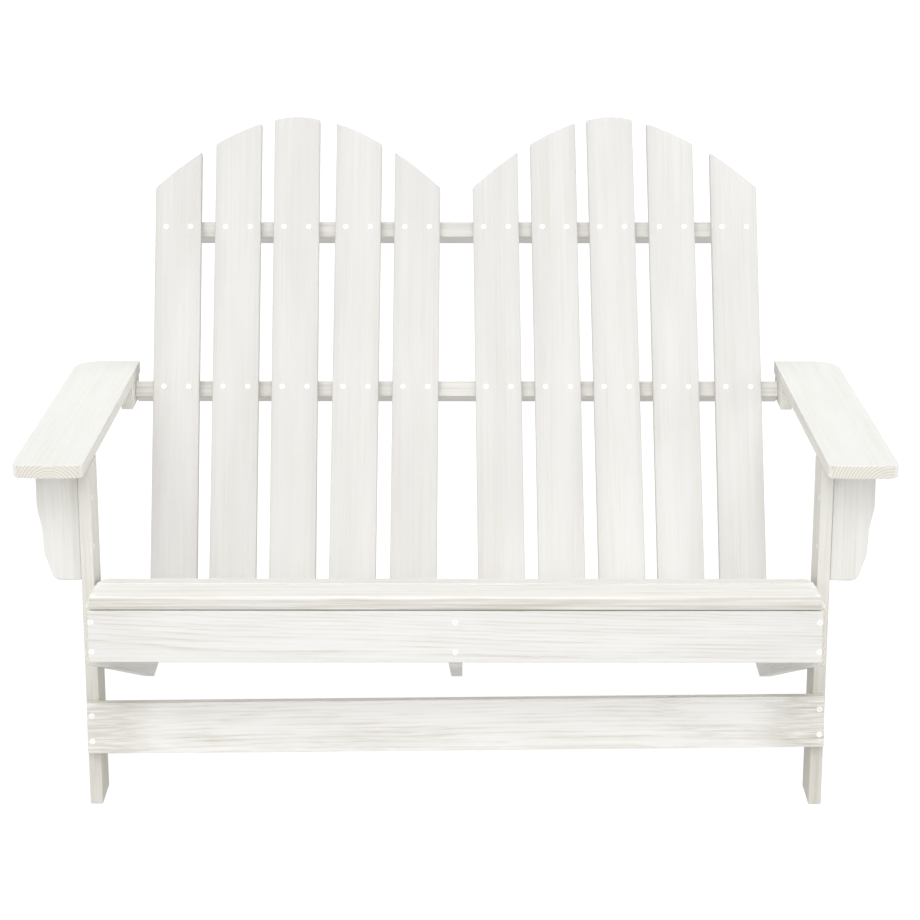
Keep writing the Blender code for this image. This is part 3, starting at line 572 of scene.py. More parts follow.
def make_screw_paint():
    """White paint over steel with a few chips, and painted shade, a little grey, in the recess."""
    material, tree, shader = start_material("screw_paint")
    place = add_node(tree, "ShaderNodeTexCoord").outputs["Object"]
    chips = noise(tree, place, CHIP_SCALES, 3.0)
    recess = read_attribute(tree, "recess", "Fac")
    chipped = ease(tree, chips, 0.60, 0.74, 0.0, 0.20)
    # Chips show the steel beneath. The grey in the recess is painted shade.
    chips_and_recess_shade = calc(tree, "MAXIMUM", chipped, multiply(tree, recess, 0.40))
    base = blend_colours(tree, chips_and_recess_shade, colour(253, 253, 252), colour(178, 178, 174))
    tree.links.new(base, shader.inputs["Base Color"])
    tree.links.new(ease(tree, chips, 0.4, 0.7, 0.42, 0.60), shader.inputs["Roughness"])
    return material


def make_beech():
    material, tree, shader = start_material("raw_beech")
    place = add_node(tree, "ShaderNodeTexCoord").outputs["Object"]
    flecks = noise(tree, place, FLECK_SCALES, 3.0)
    base = blend_colours(tree, ease(tree, flecks, 0.4, 0.65), colour(206, 170, 124), colour(178, 138, 94))
    tree.links.new(base, shader.inputs["Base Color"])
    shader.inputs["Roughness"].default_value = 0.6
    return material


SCREW_PAINT = make_screw_paint()
BEECH = make_beech()


# Meshes

def show(name, mesh):
    piece = bpy.data.objects.new(name, mesh)
    bpy.context.scene.collection.objects.link(piece)
    return piece


def show_shape(name, shape):
    """A piece with the mesh that a finished bmesh holds."""
    mesh = bpy.data.meshes.new(name)
    shape.to_mesh(mesh)
    shape.free()
    return show(name, mesh)


def rounded_outline(corners):
    """Points of a closed outline. A corner is x, y and its rounding."""
    points = []
    for index, (x, y, rounding) in enumerate(corners):
        corner = Vector((x, y))
        if rounding == 0:
            points.append(corner)
            continue
        to_last = (Vector(corners[index - 1][:2]) - corner).normalized()
        to_next = (Vector(corners[(index + 1) % len(corners)][:2]) - corner).normalized()
        half_angle = to_last.angle(to_next) / 2
        centre = corner + (to_last + to_next).normalized() * rounding / sin(half_angle)
        start = corner + to_last * rounding / tan(half_angle) - centre
        end = corner + to_next * rounding / tan(half_angle) - centre
        turn = start.angle_signed(end)
        for step in range(ARC_STEPS + 1):
            spoke = start.copy()
            spoke.rotate(Matrix.Rotation(-turn * step / ARC_STEPS, 2))
            points.append(centre + spoke)
    return points


def rectangle(low_x, low_y, high_x, high_y):
    return [(low_x, low_y), (high_x, low_y), (high_x, high_y), (low_x, high_y)]


def turned(*turns):
    """The turn of a board's frame, from pairs of an angle and an axis."""
    result = Matrix.Identity(4)
    for angle, axis in turns:
        result = result @ Matrix.Rotation(angle, 4, axis)
    return result


def frame_box(node, turn):
    """Lowest and highest corner of a node in a turned frame."""
    back = turn.to_3x3().transposed()
    places = np.array([back @ point.co for point in frame["nodes"][node].data.vertices])
    return Vector(places.min(0)), Vector(places.max(0))


def turned_height(turn, x, y, height=0.0):
    """The z in a turned frame of the point over x and y that lies at a height above the floor."""
    tilt = turn.to_3x3()[2]
    return (height - tilt[0] * x - tilt[1] * y) / tilt[2]


def cut_level(shape, turn, near, height):
    """Slides the vertices at one end of a board along its length until they lie at a height."""
    for point in shape.verts:
        if near(point.co.z):
            point.co.z = turned_height(turn, point.co.x, point.co.y, height)


def draw_board(name, outline, low, high, lay, turn, level_cuts=()):
    """A board over an outline, thickened from low to high, in its turned frame."""
    shape = bmesh.new()
    face = shape.faces.new([shape.verts.new((x, y, low)) for x, y in outline])
    grown = bmesh.ops.extrude_face_region(shape, geom=[face])
    upper = [part for part in grown["geom"] if isinstance(part, bmesh.types.BMVert)]
    bmesh.ops.translate(shape, verts=upper, vec=(0, 0, high - low))
    bmesh.ops.transform(shape, matrix=lay, verts=shape.verts)
    for near, height in level_cuts:
        cut_level(shape, turn, near, height)
    bmesh.ops.transform(shape, matrix=turn, verts=shape.verts)
    bmesh.ops.recalc_face_normals(shape, faces=shape.faces)
    return show_shape(name, shape)


def settle(piece):
    """Puts the result of a piece's modifiers in its mesh."""
    state = bpy.context.evaluated_depsgraph_get()
    mesh = bpy.data.meshes.new_from_object(piece.evaluated_get(state))
    piece.modifiers.clear()
    drawn = piece.data
    piece.data = mesh
    bpy.data.meshes.remove(drawn)


def island_numbers(mesh):
    """The number of the separate board that each vertex belongs to."""
    owner = list(range(len(mesh.vertices)))

    def root(index):
        while owner[index] != index:
            owner[index] = owner[owner[index]]
            index = owner[index]
        return index

    for edge in mesh.edges:
        first, second = (root(index) for index in edge.vertices)
        if first != second:
            owner[max(first, second)] = min(first, second)
    roots = [root(index) for index in range(len(owner))]
    order = {found: number for number, found in enumerate(sorted(set(roots)))}
    return np.array([order[found] for found in roots])


board_counts = itertools.count(1)


def store(mesh, name, kind, domain, values):
    field = "vector" if kind == "FLOAT_VECTOR" else "value"
    mesh.attributes.new(name, kind, domain).data.foreach_set(field, values.ravel())


def mark_boards(piece, turn, axes, bare_and_shade_side=(0, 0, 0)):
    """Stores where each point lies on its board: along, across and through, from the board's middle."""
    mesh = piece.data
    places = np.array([point.co for point in mesh.vertices])
    turn_table = np.array(turn.to_3x3())
    local = (places @ turn_table)[:, list(axes)]
    islands = island_numbers(mesh)
    board_place = np.empty(local.shape)
    half_size = np.empty(local.shape)
    board_number = np.empty(len(local))
    for island in range(islands.max() + 1):
        chosen = islands == island
        low = local[chosen].min(0)
        high = local[chosen].max(0)
        board_place[chosen] = local[chosen] - (low + high) / 2
        half_size[chosen] = (high - low) / 2
        board_number[chosen] = next(board_counts) * NUMBER_STEP % 1.0
    facing = np.array([face.normal for face in mesh.polygons]) @ turn_table
    store(mesh, "board_place", "FLOAT_VECTOR", "POINT", board_place)
    store(mesh, "half_size", "FLOAT_VECTOR", "POINT", half_size)
    store(mesh, "board_number", "FLOAT", "POINT", board_number)
    store(mesh, "end_grain", "FLOAT", "FACE", np.abs(facing[:, axes[0]]))
    # How far each face points to the side that gets painted shade
    store(mesh, "bare_face", "FLOAT", "FACE", facing @ np.array(bare_and_shade_side))


def round_board(piece, rounding=EDGE_ROUND):
    """Rounds a board's edges and evens out its shading."""
    for face in piece.data.polygons:
        face.use_smooth = True
    bevel = piece.modifiers.new("eased_edges", "BEVEL")
    bevel.width = rounding
    bevel.segments = EDGE_STEPS
    bevel.limit_method = "ANGLE"
    bevel.angle_limit = EDGE_ANGLE
    evened = piece.modifiers.new("even_shading", "WEIGHTED_NORMAL")
    evened.mode = "FACE_AREA"
    evened.keep_sharp = True
    settle(piece)


def place_piece(piece, material, nodes):
    """Puts a finished piece on the bench's body in place of its CAD nodes."""
    if not piece.data.materials:
        piece.data.materials.append(material)
    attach(piece, "root")
    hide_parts(*nodes)


def finish_board(piece, turn, axes, material, *nodes, bare_and_shade_side=(0, 0, 0), rounding=EDGE_ROUND):
    """Rounds, marks and places boards. The faces towards the given side are painted darker, with streaks of
    bare wood. This is painted shade, and on the front seat slat's nose it is also the grain showing through.
    """
    round_board(piece, rounding)
    mark_boards(piece, turn, axes, bare_and_shade_side)
    place_piece(piece, material, nodes)


# Which of a turned frame's axes runs along, across and through a board
ALONG_X = (0, 2, 1)
FLAT_ALONG_X = (0, 1, 2)
ALONG_Y = (1, 2, 0)
FLAT_ALONG_Y = (1, 0, 2)
UPRIGHT = (2, 0, 1)
UPRIGHT_EDGE_ON = (2, 1, 0)


# Geometry Nodes

def add_tree(name, inputs):
    """A tree of geometry nodes with named inputs, first of them the piece's own geometry."""
    sockets = (("Geometry", "Geometry", None),) + inputs
    tree, given, results = new_group(name, "GeometryNodeTree", sockets, ("Geometry",), "Geometry")
    tree.is_modifier = True
    return tree, given, results


def end_tree(tree, geometry, material, results):
    """Makes instances real and gives them their finish."""
    solid = add_node(tree, "GeometryNodeRealizeInstances", (geometry,)).outputs[0]
    finished = add_node(tree, "GeometryNodeSetMaterial", {"Geometry": solid, "Material": material})
    tree.links.new(finished.outputs[0], results["Geometry"])


def blank_board(tree, size, columns=2):
    counts = {"Vertices X": columns, "Vertices Y": 2, "Vertices Z": 2}
    return add_node(tree, "GeometryNodeMeshCube", {"Size": size} | counts).outputs["Mesh"]


def run_tree(piece, tree, values):
    """Runs a tree on a piece and puts the result in its mesh."""
    modifier = piece.modifiers.new(tree.name, "NODES")
    modifier.node_group = tree
    for item in tree.interface.items_tree:
        if item.in_out == "INPUT" and item.name in values:
            modifier[item.identifier] = values[item.name]
    settle(piece)


def make_fan_tree():
    """Two fans of upright slats, each cut to its share of an arch."""
    inputs = (
        ("Slats", "Int", FAN_SLATS), ("Slat Width", "Float", SLAT_WIDTH), ("Pitch", "Float", SLAT_PITCH),
        ("Front", "Float", 0.0), ("Thickness", "Float", BOARD), ("Bottom", "Float", 0.0),
        ("Arch Top", "Float", 1.0), ("Arch Drop", "Float", ARCH_DROP), ("Arch Power", "Float", ARCH_POWER),
        ("Fan Middle", "Float", FAN_MIDDLE), ("Fan Half", "Float", FAN_HALF), ("Recline", "Float", RECLINE),
        ("Finish", "Material", None),
    )
    tree, given, results = add_tree("back_slats", inputs)
    spaces = subtract(tree, given["Slats"], 1.0)
    half_row = multiply(tree, spaces, 0.5, given["Pitch"])
    fans = add_node(tree, "GeometryNodeJoinGeometry")
    for side in (1, -1):
        middle = multiply(tree, given["Fan Middle"], float(side))
        start = combine(tree, subtract(tree, middle, half_row), 0.0, 0.0)
        offset = combine(tree, given["Pitch"], 0.0, 0.0)
        row = add_node(tree, "GeometryNodeMeshLine",
                       {"Count": given["Slats"], "Start Location": start, "Offset": offset}, mode="OFFSET")
        tree.links.new(row.outputs[0], fans.inputs[0])
    blank = blank_board(tree, combine(tree, given["Slat Width"], given["Thickness"], 1.0), ARCH_CUTS)
    slats = add_node(tree, "GeometryNodeInstanceOnPoints", {"Points": fans.outputs[0], "Instance": blank})
    slats = add_node(tree, "GeometryNodeRealizeInstances", (slats.outputs[0],)).outputs[0]
    x, y, z = split(tree, add_node(tree, "GeometryNodeInputPosition").outputs[0])
    own_middle = multiply(tree, calc(tree, "SIGN", x), given["Fan Middle"])
    from_middle = calc(tree, "ABSOLUTE", subtract(tree, x, own_middle))
    share = calc(tree, "DIVIDE", from_middle, given["Fan Half"])
    drop = multiply(tree, calc(tree, "POWER", share, given["Arch Power"]), given["Arch Drop"])
    length = subtract(tree, given["Arch Top"], drop, given["Bottom"])
    depth = add(tree, y, given["Front"], multiply(tree, given["Thickness"], 0.5))
    rise = calc(tree, "MULTIPLY_ADD", add(tree, z, 0.5), length, given["Bottom"])
    cut_place = combine(tree, x, depth, rise)
    shaped = add_node(tree, "GeometryNodeSetPosition", {"Geometry": slats, "Position": cut_place})
    lean = combine(tree, multiply(tree, given["Recline"], -1.0), 0.0, 0.0)
    leaning = add_node(tree, "GeometryNodeTransform", {"Geometry": shaped.outputs[0], "Rotation": lean})
    end_tree(tree, leaning.outputs[0], given["Finish"], results)
    return tree


def make_seat_tree():
    """A slat on each edge of the line that is drawn under them."""
    inputs = (("Length", "Float", 1.0), ("Width", "Float", 0.074), ("Thickness", "Float", BOARD),
              ("Finish", "Material", None))
    tree, given, results = add_tree("seat_slats", inputs)
    ends = add_node(tree, "GeometryNodeInputMeshEdgeVertices")
    direction = calc_vector(tree, "SUBTRACT", ends.outputs["Position 2"], ends.outputs["Position 1"])
    turn = add_node(tree, "FunctionNodeAlignRotationToVector", {"Vector": direction},
                    axis="Y", pivot_axis="X")
    stored = add_node(tree, "GeometryNodeStoreNamedAttribute",
                      {"Geometry": given["Geometry"], "Name": "slope", "Value": turn.outputs[0]},
                      data_type="QUATERNION", domain="EDGE")
    middles = add_node(tree, "GeometryNodeMeshToPoints", {"Mesh": stored.outputs[0]}, mode="EDGES")
    blank = blank_board(tree, combine(tree, given["Length"], given["Width"], given["Thickness"]))
    lift = combine(tree, 0.0, 0.0, multiply(tree, given["Thickness"], 0.5))
    seated = add_node(tree, "GeometryNodeTransform", {"Geometry": blank, "Translation": lift})
    slope = add_node(tree, "GeometryNodeInputNamedAttribute", {"Name": "slope"}, data_type="QUATERNION")
    laid = {"Points": middles.outputs[0], "Instance": seated.outputs[0], "Rotation": live_output(slope)}
    slats = add_node(tree, "GeometryNodeInstanceOnPoints", laid)
    end_tree(tree, slats.outputs[0], given["Finish"], results)
    return tree


def make_screw_tree():
    """A screw head on each point, square to the board that it holds and turned at random."""
    inputs = (("Head", "Object", None), ("Seed", "Int", SCREW_SEED), ("Finish", "Material", None))
    tree, given, results = add_tree("screw_heads", inputs)
    heads = add_node(tree, "GeometryNodeObjectInfo", {"Object": given["Head"]})
    heading = add_node(tree, "GeometryNodeInputNamedAttribute", {"Name": "heading"},
                       data_type="FLOAT_VECTOR")
    square = add_node(tree, "FunctionNodeAlignRotationToVector", {"Vector": live_output(heading)}, axis="Z")
    angle = add_node(tree, "FunctionNodeRandomValue", {"Max": 2 * pi, "Seed": given["Seed"]},
                     data_type="FLOAT")
    twist = add_node(tree, "FunctionNodeAxisAngleToRotation",
                     {"Axis": (0.0, 0.0, 1.0), "Angle": live_output(angle)})
    turn = add_node(tree, "FunctionNodeRotateRotation",
                    {"Rotation": square.outputs[0], "Rotate By": twist.outputs[0]}, rotation_space="LOCAL")
    driven = {"Points": given["Geometry"], "Instance": heads.outputs["Geometry"], "Rotation": turn.outputs[0]}
    screws = add_node(tree, "GeometryNodeInstanceOnPoints", driven)
    end_tree(tree, screws.outputs[0], given["Finish"], results)
    return tree


screw_places = []


def put_screw(turn, place, facing):
    """A screw at a place in a turned frame, with its head towards facing."""
    screw_places.append((turn @ Vector(place), turn.to_3x3() @ Vector(facing)))


# Back

LEAN = turned((-RECLINE, "X"))
BACK_NODES = [f"back_slat_{side}_{number}" for side, _ in SIDES for number in range(1, FAN_SLATS + 1)]


def slat_sets():
    """Upright middle, shifted middle at the arm-level batten, and lean of each back slat."""
    sets = []
    for side_name, side in SIDES:
        first = side * FAN_MIDDLE - SLAT_PITCH * (FAN_SLATS - 1) / 2
        for number in range(FAN_SLATS):
            upright = first + SLAT_PITCH * number
            shift = SLAT_SHIFT_SHARES[side_name][number] * SLAT_SPACE
            sets.append((upright, upright + shift, radians(SLAT_LEANS[side_name][number])))
    return sets


def lean_slats(piece, sets, pivot):
    """Leans each upright slat about its place on the arm-level batten."""
    uprights = np.array([upright for upright, _, _ in sets])
    upright_frame = LEAN.to_3x3().transposed()
    for point in piece.data.vertices:
        place = upright_frame @ point.co
        upright, middle, lean = sets[int(np.abs(uprights - place.x).argmin())]
        across = place.x - upright
        rise = place.z - pivot
        place.x = middle + across * cos(lean) + rise * sin(lean)
        place.z = pivot + rise * cos(lean) - across * sin(lean)
        point.co = LEAN.to_3x3() @ place


def add_back_slats():
    low, high = frame_box(BACK_NODES[2], LEAN)
    level = frame_box("arm_level_batten", LEAN)[1].z
    batten_bottom = frame_box("bottom_back_batten", LEAN)[0].z
    sets = slat_sets()
    values = {
        "Front": low.y,
        "Thickness": high.y - low.y,
        "Bottom": batten_bottom - SLAT_BELOW_BATTEN,
        "Arch Top": level + ARCH_RISE,
        "Finish": BACK_WASH,
    }
    pivot = level - BATTEN_HEIGHT / 2
    slats = show("back_slats", bpy.data.meshes.new("back_slats"))
    run_tree(slats, make_fan_tree(), values)
    round_board(slats, SOFT_EDGE_ROUND)
    mark_boards(slats, LEAN, UPRIGHT)
    lean_slats(slats, sets, pivot)
    place_piece(slats, BACK_WASH, BACK_NODES)

    rows = (
        (level + UPPER_BATTEN_RISE + BATTEN_HEIGHT / 2, (-BACK_SCREW_SPREAD, BACK_SCREW_SPREAD)),
        (pivot, (-BACK_SCREW_SPREAD, BACK_SCREW_SPREAD)),
        (batten_bottom + BATTEN_HEIGHT / 2, (0.0,)),
    )
    for _, middle, lean in sets:
        for height, spread in rows:
            leaned = middle + (height - pivot) * tan(lean)
            for x in spread:
                put_screw(LEAN, (leaned + x, low.y, height), (0, -1, 0))


def add_battens():
    for name in ("upper_back_batten", "arm_level_batten", "bottom_back_batten"):
        low, high = frame_box(name, LEAN)
        outline = rectangle(low.x, low.z, high.x, high.z)
        batten = draw_board("dressed_" + name, outline, -high.y, BATTEN_DEPTH - high.y, FACE_ON, LEAN)
        # The battens' fronts, which the slats shade, get painted shade
        finish_board(batten, LEAN, FLAT_ALONG_X, BATTEN_WASH, name, bare_and_shade_side=(0, -1, 0))
        if name == "bottom_back_batten":
            reach = high.x - BOARD / 2
            for x in (-reach, 0, reach):
                put_screw(LEAN, (x, high.y - BATTEN_DEPTH / 2, high.z), (0, 0, 1))


# Seat

def add_seat():
    turn = turned((-SEAT_SLOPES[0], "X"))
    low, high = frame_box("seat_slat_1", turn)
    outline = rounded_outline((
        (low.y, low.z, 0), (high.y, low.z, 0), (high.y, high.z, 0), (low.y, high.z, NOSE_ROUND)))
    front = draw_board("front_seat_slat", outline, low.x, high.x, SIDE_ON, turn)
    # The nose's rounding and front get painted shade, along with the streaks of grain that show there
    finish_board(front, turn, FLAT_ALONG_X, SEAT_WASH, "seat_slat_1", bare_and_shade_side=(0, -1, 0))

    line = bmesh.new()
    nodes = []
    for number in range(2, SEAT_SLATS + 1):
        turn = turned((-SEAT_SLOPES[number - 1], "X"))
        low, high = frame_box(f"seat_slat_{number}", turn)
        start = line.verts.new(turn @ Vector((0, low.y, low.z)))
        end = line.verts.new(turn @ Vector((0, high.y, low.z)))
        line.edges.new((start, end))
        nodes.append(f"seat_slat_{number}")
    slats = show_shape("seat_slats", line)
    size = high - low
    values = {"Length": size.x, "Width": size.y, "Thickness": size.z, "Finish": SEAT_WASH}
    run_tree(slats, make_seat_tree(), values)
    finish_board(slats, turned((-STRINGER_SLOPE, "X")), FLAT_ALONG_X, SEAT_WASH, *nodes)

    for number, slope in enumerate(SEAT_SLOPES, 1):
        turn = turned((-slope, "X"))
        low, high = frame_box(f"seat_slat_{number}", turn)
        reach = high.x - SLAT_SCREW_INSET
        front_margin = NOSE_SCREW_SETBACK if number == 1 else FRONT_SCREW_MARGIN
        for x in (-reach, reach):
            put_screw(turn, (x, low.y + front_margin, high.z), (0, 0, 1))
            put_screw(turn, (x, high.y - REAR_SCREW_MARGIN, high.z), (0, 0, 1))
        if number > 1:
            put_screw(turn, (0, (low.y + high.y) / 2, high.z), (0, 0, 1))


def add_apron():
    low, high = frame_box("front_apron", LAID_FLAT)
    top = low.z + APRON_WIDTH
    outline = rectangle(low.x, low.z, high.x, top)
    apron = draw_board("apron", outline, -high.y, -low.y, FACE_ON, LAID_FLAT)
    finish_board(apron, LAID_FLAT, ALONG_X, APRON_WASH, "front_apron")
    reach = high.x - APRON_SCREW_INSET
    for x in (-reach, 0, reach):
        for drop in (APRON_SCREW_TOP, APRON_SCREW_TOP + APRON_SCREW_SPACING):
            put_screw(LAID_FLAT, (x, low.y, top - drop), (0, -1, 0))


def add_stringers():
    """Long boards with a straight lower edge, a foot, and an upper edge that carries slats and back."""
    slope_turn = turned((-STRINGER_SLOPE, "X"))
    fall = tan(STRINGER_SLOPE)
    under = frame_box(f"seat_slat_{SEAT_SLATS}", slope_turn)[0].z - FIT_GAP
    # Heights of the sloping edges at the middle of the bench, from which they fall towards the rear
    upper = under / cos(STRINGER_SLOPE)
    lower = upper - STRINGER_WIDTH / cos(STRINGER_SLOPE)
    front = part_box("front_apron")[0].y + BOARD + FIT_GAP
    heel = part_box("left_stringer")[1].y

    bends = []
    straight_from = SEAT_SLOPES.index(STRINGER_SLOPE) + 1
    for number in range(2, straight_from + 1):
        turn = turned((-SEAT_SLOPES[number - 1], "X"))
        low, _ = frame_box(f"seat_slat_{number}", turn)
        bends.append(turn @ Vector((0, low.y, low.z - FIT_GAP)))
    first_turn = turned((-SEAT_SLOPES[0], "X"))
    first = frame_box("seat_slat_1", first_turn)[0]
    first_start = first_turn @ Vector((0, first.y, first.z - FIT_GAP))
    front_height = first_start.z - (front - first_start.y) * tan(SEAT_SLOPES[0])

    batten_low, batten_high = frame_box("bottom_back_batten", LEAN)
    notch_low = Vector((0, batten_high.y - BATTEN_DEPTH - FIT_GAP, batten_low.z - FIT_GAP))
    notch_high = notch_low + Vector((0, BATTEN_DEPTH + 2 * FIT_GAP, 0))
    notch = [LEAN @ notch_low, LEAN @ notch_high]
    up = LEAN.to_3x3() @ Vector((0, 0, 1))
    entry, leave = (point + up * (upper - fall * point.y - point.z) / (up.z + fall * up.y)
                    for point in notch)

    for name in ("left", "centre", "right"):
        low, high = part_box(name + "_stringer")
        corners = [(front, lower - fall * front, 0), (lower / fall, 0, TOE_ROUNDS[name]), (heel, 0, 0),
                   (heel, upper - fall * heel, 0)]
        corners += [(point.y, point.z, 0) for point in (leave, notch[1], notch[0], entry)]
        corners += [(bend.y, bend.z, 0) for bend in reversed(bends)]
        corners.append((front, front_height, 0))
        stringer = draw_board("dressed_" + name + "_stringer", rounded_outline(corners), low.x, high.x,
                              SIDE_ON, LAID_FLAT)
        finish_board(stringer, slope_turn, ALONG_Y, STRINGER_WASH_WITH_PAINTED_LIGHT, name + "_stringer")


# Legs and rail

def inner_and_outer(low, high, side):
    """The x of a piece's sides that face the middle of the bench and away from it."""
    return (high.x, low.x) if side < 0 else (low.x, high.x)


def add_leg(side_name, side):
    turn = turned((-LEG_RAKE, "X"), (side * LEG_SPLAY, "Y"))
    low, high = frame_box(side_name + "_leg", turn)
    outline = rectangle(low.y, low.z - OVERRUN, high.y, high.z + OVERRUN)
    middle = (low.z + high.z) / 2
    cuts = ((lambda z: z < middle, 0.0), (lambda z: z > middle, ARM_UNDERSIDE - FIT_GAP))
    leg = draw_board("dressed_" + side_name + "_leg", outline, low.x, high.x, SIDE_ON, turn, cuts)
    finish_board(leg, turn, UPRIGHT_EDGE_ON, LEG_WASH, side_name + "_leg")

    inner, outer = inner_and_outer(low, high, side)
    base = turned_height(turn, inner, low.y)
    for y in (low.y + LEG_SCREW_MARGIN, high.y - LEG_SCREW_MARGIN):
        for z in LEG_SCREW_HEIGHTS:
            put_screw(turn, (outer, y, base + z), (side, 0, 0))

    bracket_low, bracket_high = frame_box(side_name + "_bracket", turn)
    run_top = bracket_low.z + BRACKET_DROP
    near = outer + side * FIT_GAP
    corners = [(near, run_top + OVERRUN, 0), (near + side * BRACKET_WIDTH, run_top + OVERRUN, 0)]
    for width_share, drop_share, round_share in BRACKET_CURVE_SHARES:
        x = near + side * BRACKET_WIDTH * width_share
        corners.append((x, run_top - BRACKET_DROP * drop_share, BRACKET_WIDTH * round_share))
    corners.append((near, run_top - BRACKET_DROP, 0))
    cuts = ((lambda z: z > run_top, ARM_UNDERSIDE - FIT_GAP),)
    bracket = draw_board("dressed_" + side_name + "_bracket", rounded_outline(corners),
                         -bracket_high.y, -bracket_low.y, FACE_ON, turn, cuts)
    # The bracket's face against the leg gets painted shade, which darkens the joint
    finish_board(bracket, turn, UPRIGHT, BRACKET_WASH, side_name + "_bracket", bare_and_shade_side=(-side, 0, 0),
                 rounding=SOFT_EDGE_ROUND)
    for drop in BRACKET_SCREW_DROPS:
        put_screw(turn, (inner, (bracket_low.y + bracket_high.y) / 2, run_top - drop), (-side, 0, 0))


def add_rail():
    turn = turned((-LEG_RAKE, "X"), (-RAIL_LEAN, "Y"))
    low, high = frame_box("lower_front_rail", turn)
    outline = rectangle(low.x, low.z, high.x, high.z)
    rail = draw_board("lower_rail", outline, -high.y, -low.y, FACE_ON, turn)
    finish_board(rail, turn, ALONG_X, RAIL_WASH_WITH_PAINTED_LIGHT, "lower_front_rail")
    for x in (low.x + RAIL_SCREW_INSET, high.x - RAIL_SCREW_INSET):
        for z in RAIL_SCREW_HEIGHTS:
            put_screw(turn, (x, low.y, low.z + z), (0, -1, 0))


# Arms

def add_arm(side_name, side):
    turn = turned((side * ARM_TOE, "Z"))
    low, high = frame_box(side_name + "_arm", turn)
    inner, outer = inner_and_outer(low, high, side)
    corners = (
        (inner, low.y + ARM_BOW, ARM_INNER_ROUND),
        ((inner + outer) / 2, low.y, ARM_BOW_ROUND),
        (outer, low.y + ARM_BOW, ARM_OUTER_ROUND),
        (outer, high.y, ARM_REAR_ROUND),
        (inner, high.y, 0),
    )
    arm = draw_board("dressed_" + side_name + "_arm", rounded_outline(corners), low.z, high.z,
                     LAID_FLAT, turn)
    # The arm's inner edge, which lies in shade, gets painted shade
    finish_board(arm, turn, FLAT_ALONG_Y, ARM_WASH, side_name + "_arm", bare_and_shade_side=(-side, 0, 0))

    low, high = frame_box(side_name + "_arm_cleat", LAID_FLAT)
    outline = rectangle(low.y, low.z, high.y, high.z)
    cleat = draw_board("dressed_" + side_name + "_arm_cleat", outline, low.x, high.x, SIDE_ON, LAID_FLAT)
    finish_board(cleat, LAID_FLAT, ALONG_Y, BATTEN_WASH, side_name + "_arm_cleat")
    middle = (low.x + high.x) / 2
    for y in (low.y + CLEAT_SCREW_MARGIN, high.y - CLEAT_SCREW_MARGIN):
        put_screw(LAID_FLAT, (middle, y, low.z), (0, 0, -1))
    head_low, head_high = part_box(side_name + "_batten_end_screw_1")
    outer = inner_and_outer(low, high, side)[1]
    place = (outer, (head_low.y + head_high.y) / 2, (head_low.z + head_high.z) / 2)
    put_screw(LAID_FLAT, place, (side, 0, 0))


# Screws and dowels

def make_head():
    """The pattern for every screw head: a low crown with a cross recess that paint has half filled."""
    shape = bmesh.new()
    recess = shape.verts.layers.float.new("recess")
    loops = []
    for share, height, follows in HEAD_RINGS:
        loop = []
        for side in range(HEAD_SIDES):
            angle = 2 * pi * side / HEAD_SIDES
            hollow = CROSS_DEPTH * (0.5 - 0.5 * cos(CROSS_ARMS * angle))
            radius = HEAD_RADIUS * share * (1.0 - follows * hollow)
            loop.append(shape.verts.new((radius * cos(angle), radius * sin(angle), height)))
        loops.append(loop)
    for lower, upper in zip(loops, loops[1:]):
        for side in range(HEAD_SIDES):
            after = (side + 1) % HEAD_SIDES
            shape.faces.new((lower[side], lower[after], upper[after], upper[side]))
    shape.faces.new(loops[-1])
    shape.faces.new(loops[0][::-1])
    # The recess layer marks where the screw paint puts painted shade
    for point in loops[-1]:
        point[recess] = 1.0
    for face in shape.faces:
        face.smooth = True
    return show_shape("screw_head", shape)


def add_screws():
    head = make_head()
    mesh = bpy.data.meshes.new("screws")
    mesh.from_pydata([place for place, _ in screw_places], [], [])
    headings = mesh.attributes.new("heading", "FLOAT_VECTOR", "POINT")
    headings.data.foreach_set("vector", [part for _, facing in screw_places for part in facing])
    screws = show("screws", mesh)
    run_tree(screws, make_screw_tree(), {"Head": head, "Seed": SCREW_SEED, "Finish": SCREW_PAINT})
    bpy.data.objects.remove(head, do_unlink=True)
    nodes = [name for name in frame["nodes"] if "_screw_" in name]
    place_piece(screws, SCREW_PAINT, nodes)


def dress_dowels():
    for name, node in frame["nodes"].items():
        if name.startswith("arm_dowel"):
            node.data.materials.clear()
            node.data.materials.append(BEECH)


add_back_slats()
add_battens()
add_seat()
add_apron()
add_stringers()
for side_name, side in SIDES:
    add_leg(side_name, side)
    add_arm(side_name, side)
add_rail()
add_screws()
dress_dowels()


# Studio

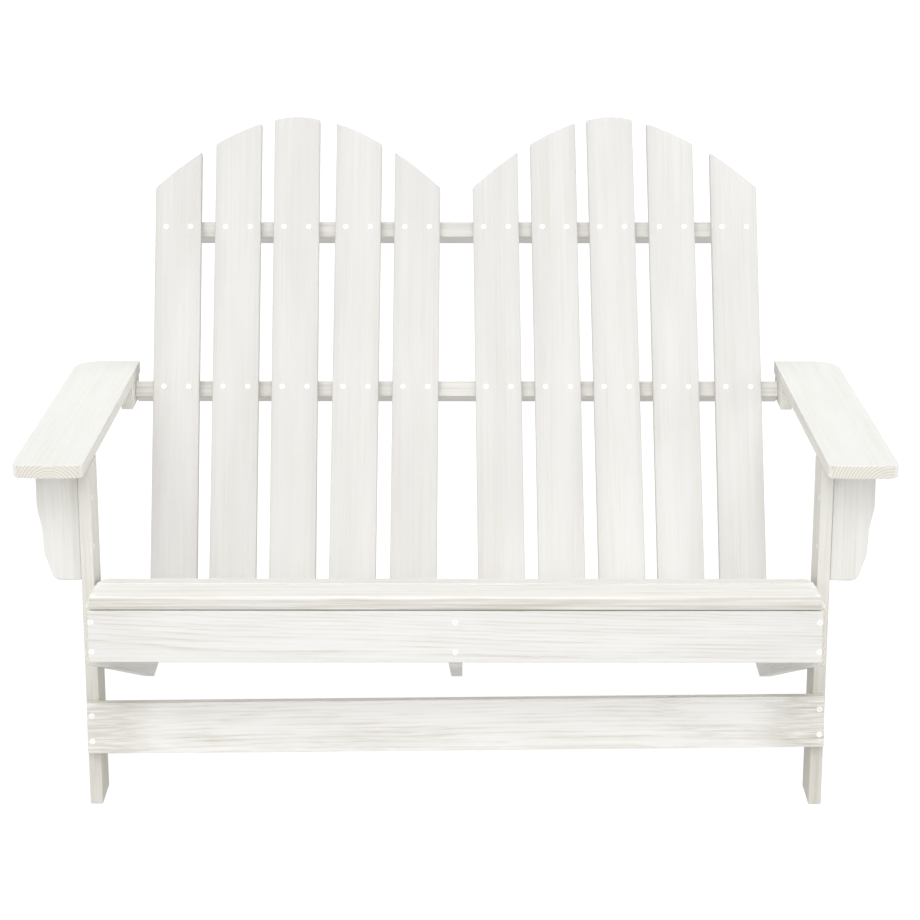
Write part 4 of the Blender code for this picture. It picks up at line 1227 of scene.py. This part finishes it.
def more_for_camera(tree, strength, extra):
    """A strength that has something added to it where the camera sees it directly."""
    seen = add_node(tree, "ShaderNodeLightPath").outputs["Is Camera Ray"]
    return calc(tree, "MULTIPLY_ADD", seen, extra, strength)


def make_floor():
    material, tree, shader = start_material("studio_floor")
    glow = more_for_camera(tree, FLOOR_GLOW, FLOOR_SEEN_GLOW)
    tree.links.new(glow, shader.inputs["Emission Strength"])
    shader.inputs["Emission Color"].default_value = (1.0, 1.0, 1.0, 1.0)
    shader.inputs["Base Color"].default_value = (FLOOR_SHADE, FLOOR_SHADE, FLOOR_SHADE, 1.0)
    shader.inputs["Roughness"].default_value = 0.9
    shader.inputs["Specular IOR Level"].default_value = 0.0
    mesh = bpy.data.meshes.new("floor")
    corners = rectangle(-FLOOR_REACH, -FLOOR_REACH, FLOOR_REACH, FLOOR_REACH)
    mesh.from_pydata([(x, y, 0) for x, y in corners], [], [(0, 1, 2, 3)])
    mesh.materials.append(material)
    floor = show("floor", mesh)


def make_studio():
    scene = bpy.context.scene
    world = bpy.data.worlds.new("studio")
    world.use_nodes = True
    tree = world.node_tree
    background = tree.nodes["Background"]
    background.inputs["Color"].default_value = (1.0, 1.0, 1.0, 1.0)
    sky = more_for_camera(tree, SKY_STRENGTH, SKY_SEEN_STRENGTH)
    tree.links.new(sky, background.inputs["Strength"])
    scene.world = world
    for name, strength, tilt, swing, width in LIGHTS:
        light = bpy.data.lights.new(name, "SUN")
        light.energy = strength
        light.angle = radians(width)
        show(name, light).rotation_euler = (radians(tilt), 0.0, radians(swing))
    scene.view_settings.view_transform = "Standard"
    scene.view_settings.look = "None"


def make_camera():
    lens = bpy.data.cameras.new("camera")
    lens.sensor_width = SENSOR
    lens.lens = CAMERA_FOCAL / PHOTO_SIDE * SENSOR
    lens.clip_end = VIEW_REACH
    camera = show("camera", lens)
    camera.location = CAMERA_PLACE
    camera.rotation_euler = (pi / 2 - CAMERA_PITCH, 0.0, CAMERA_YAW)
    bpy.context.scene.camera = camera


make_floor()
make_studio()
make_camera()

bpy.context.view_layer.update()
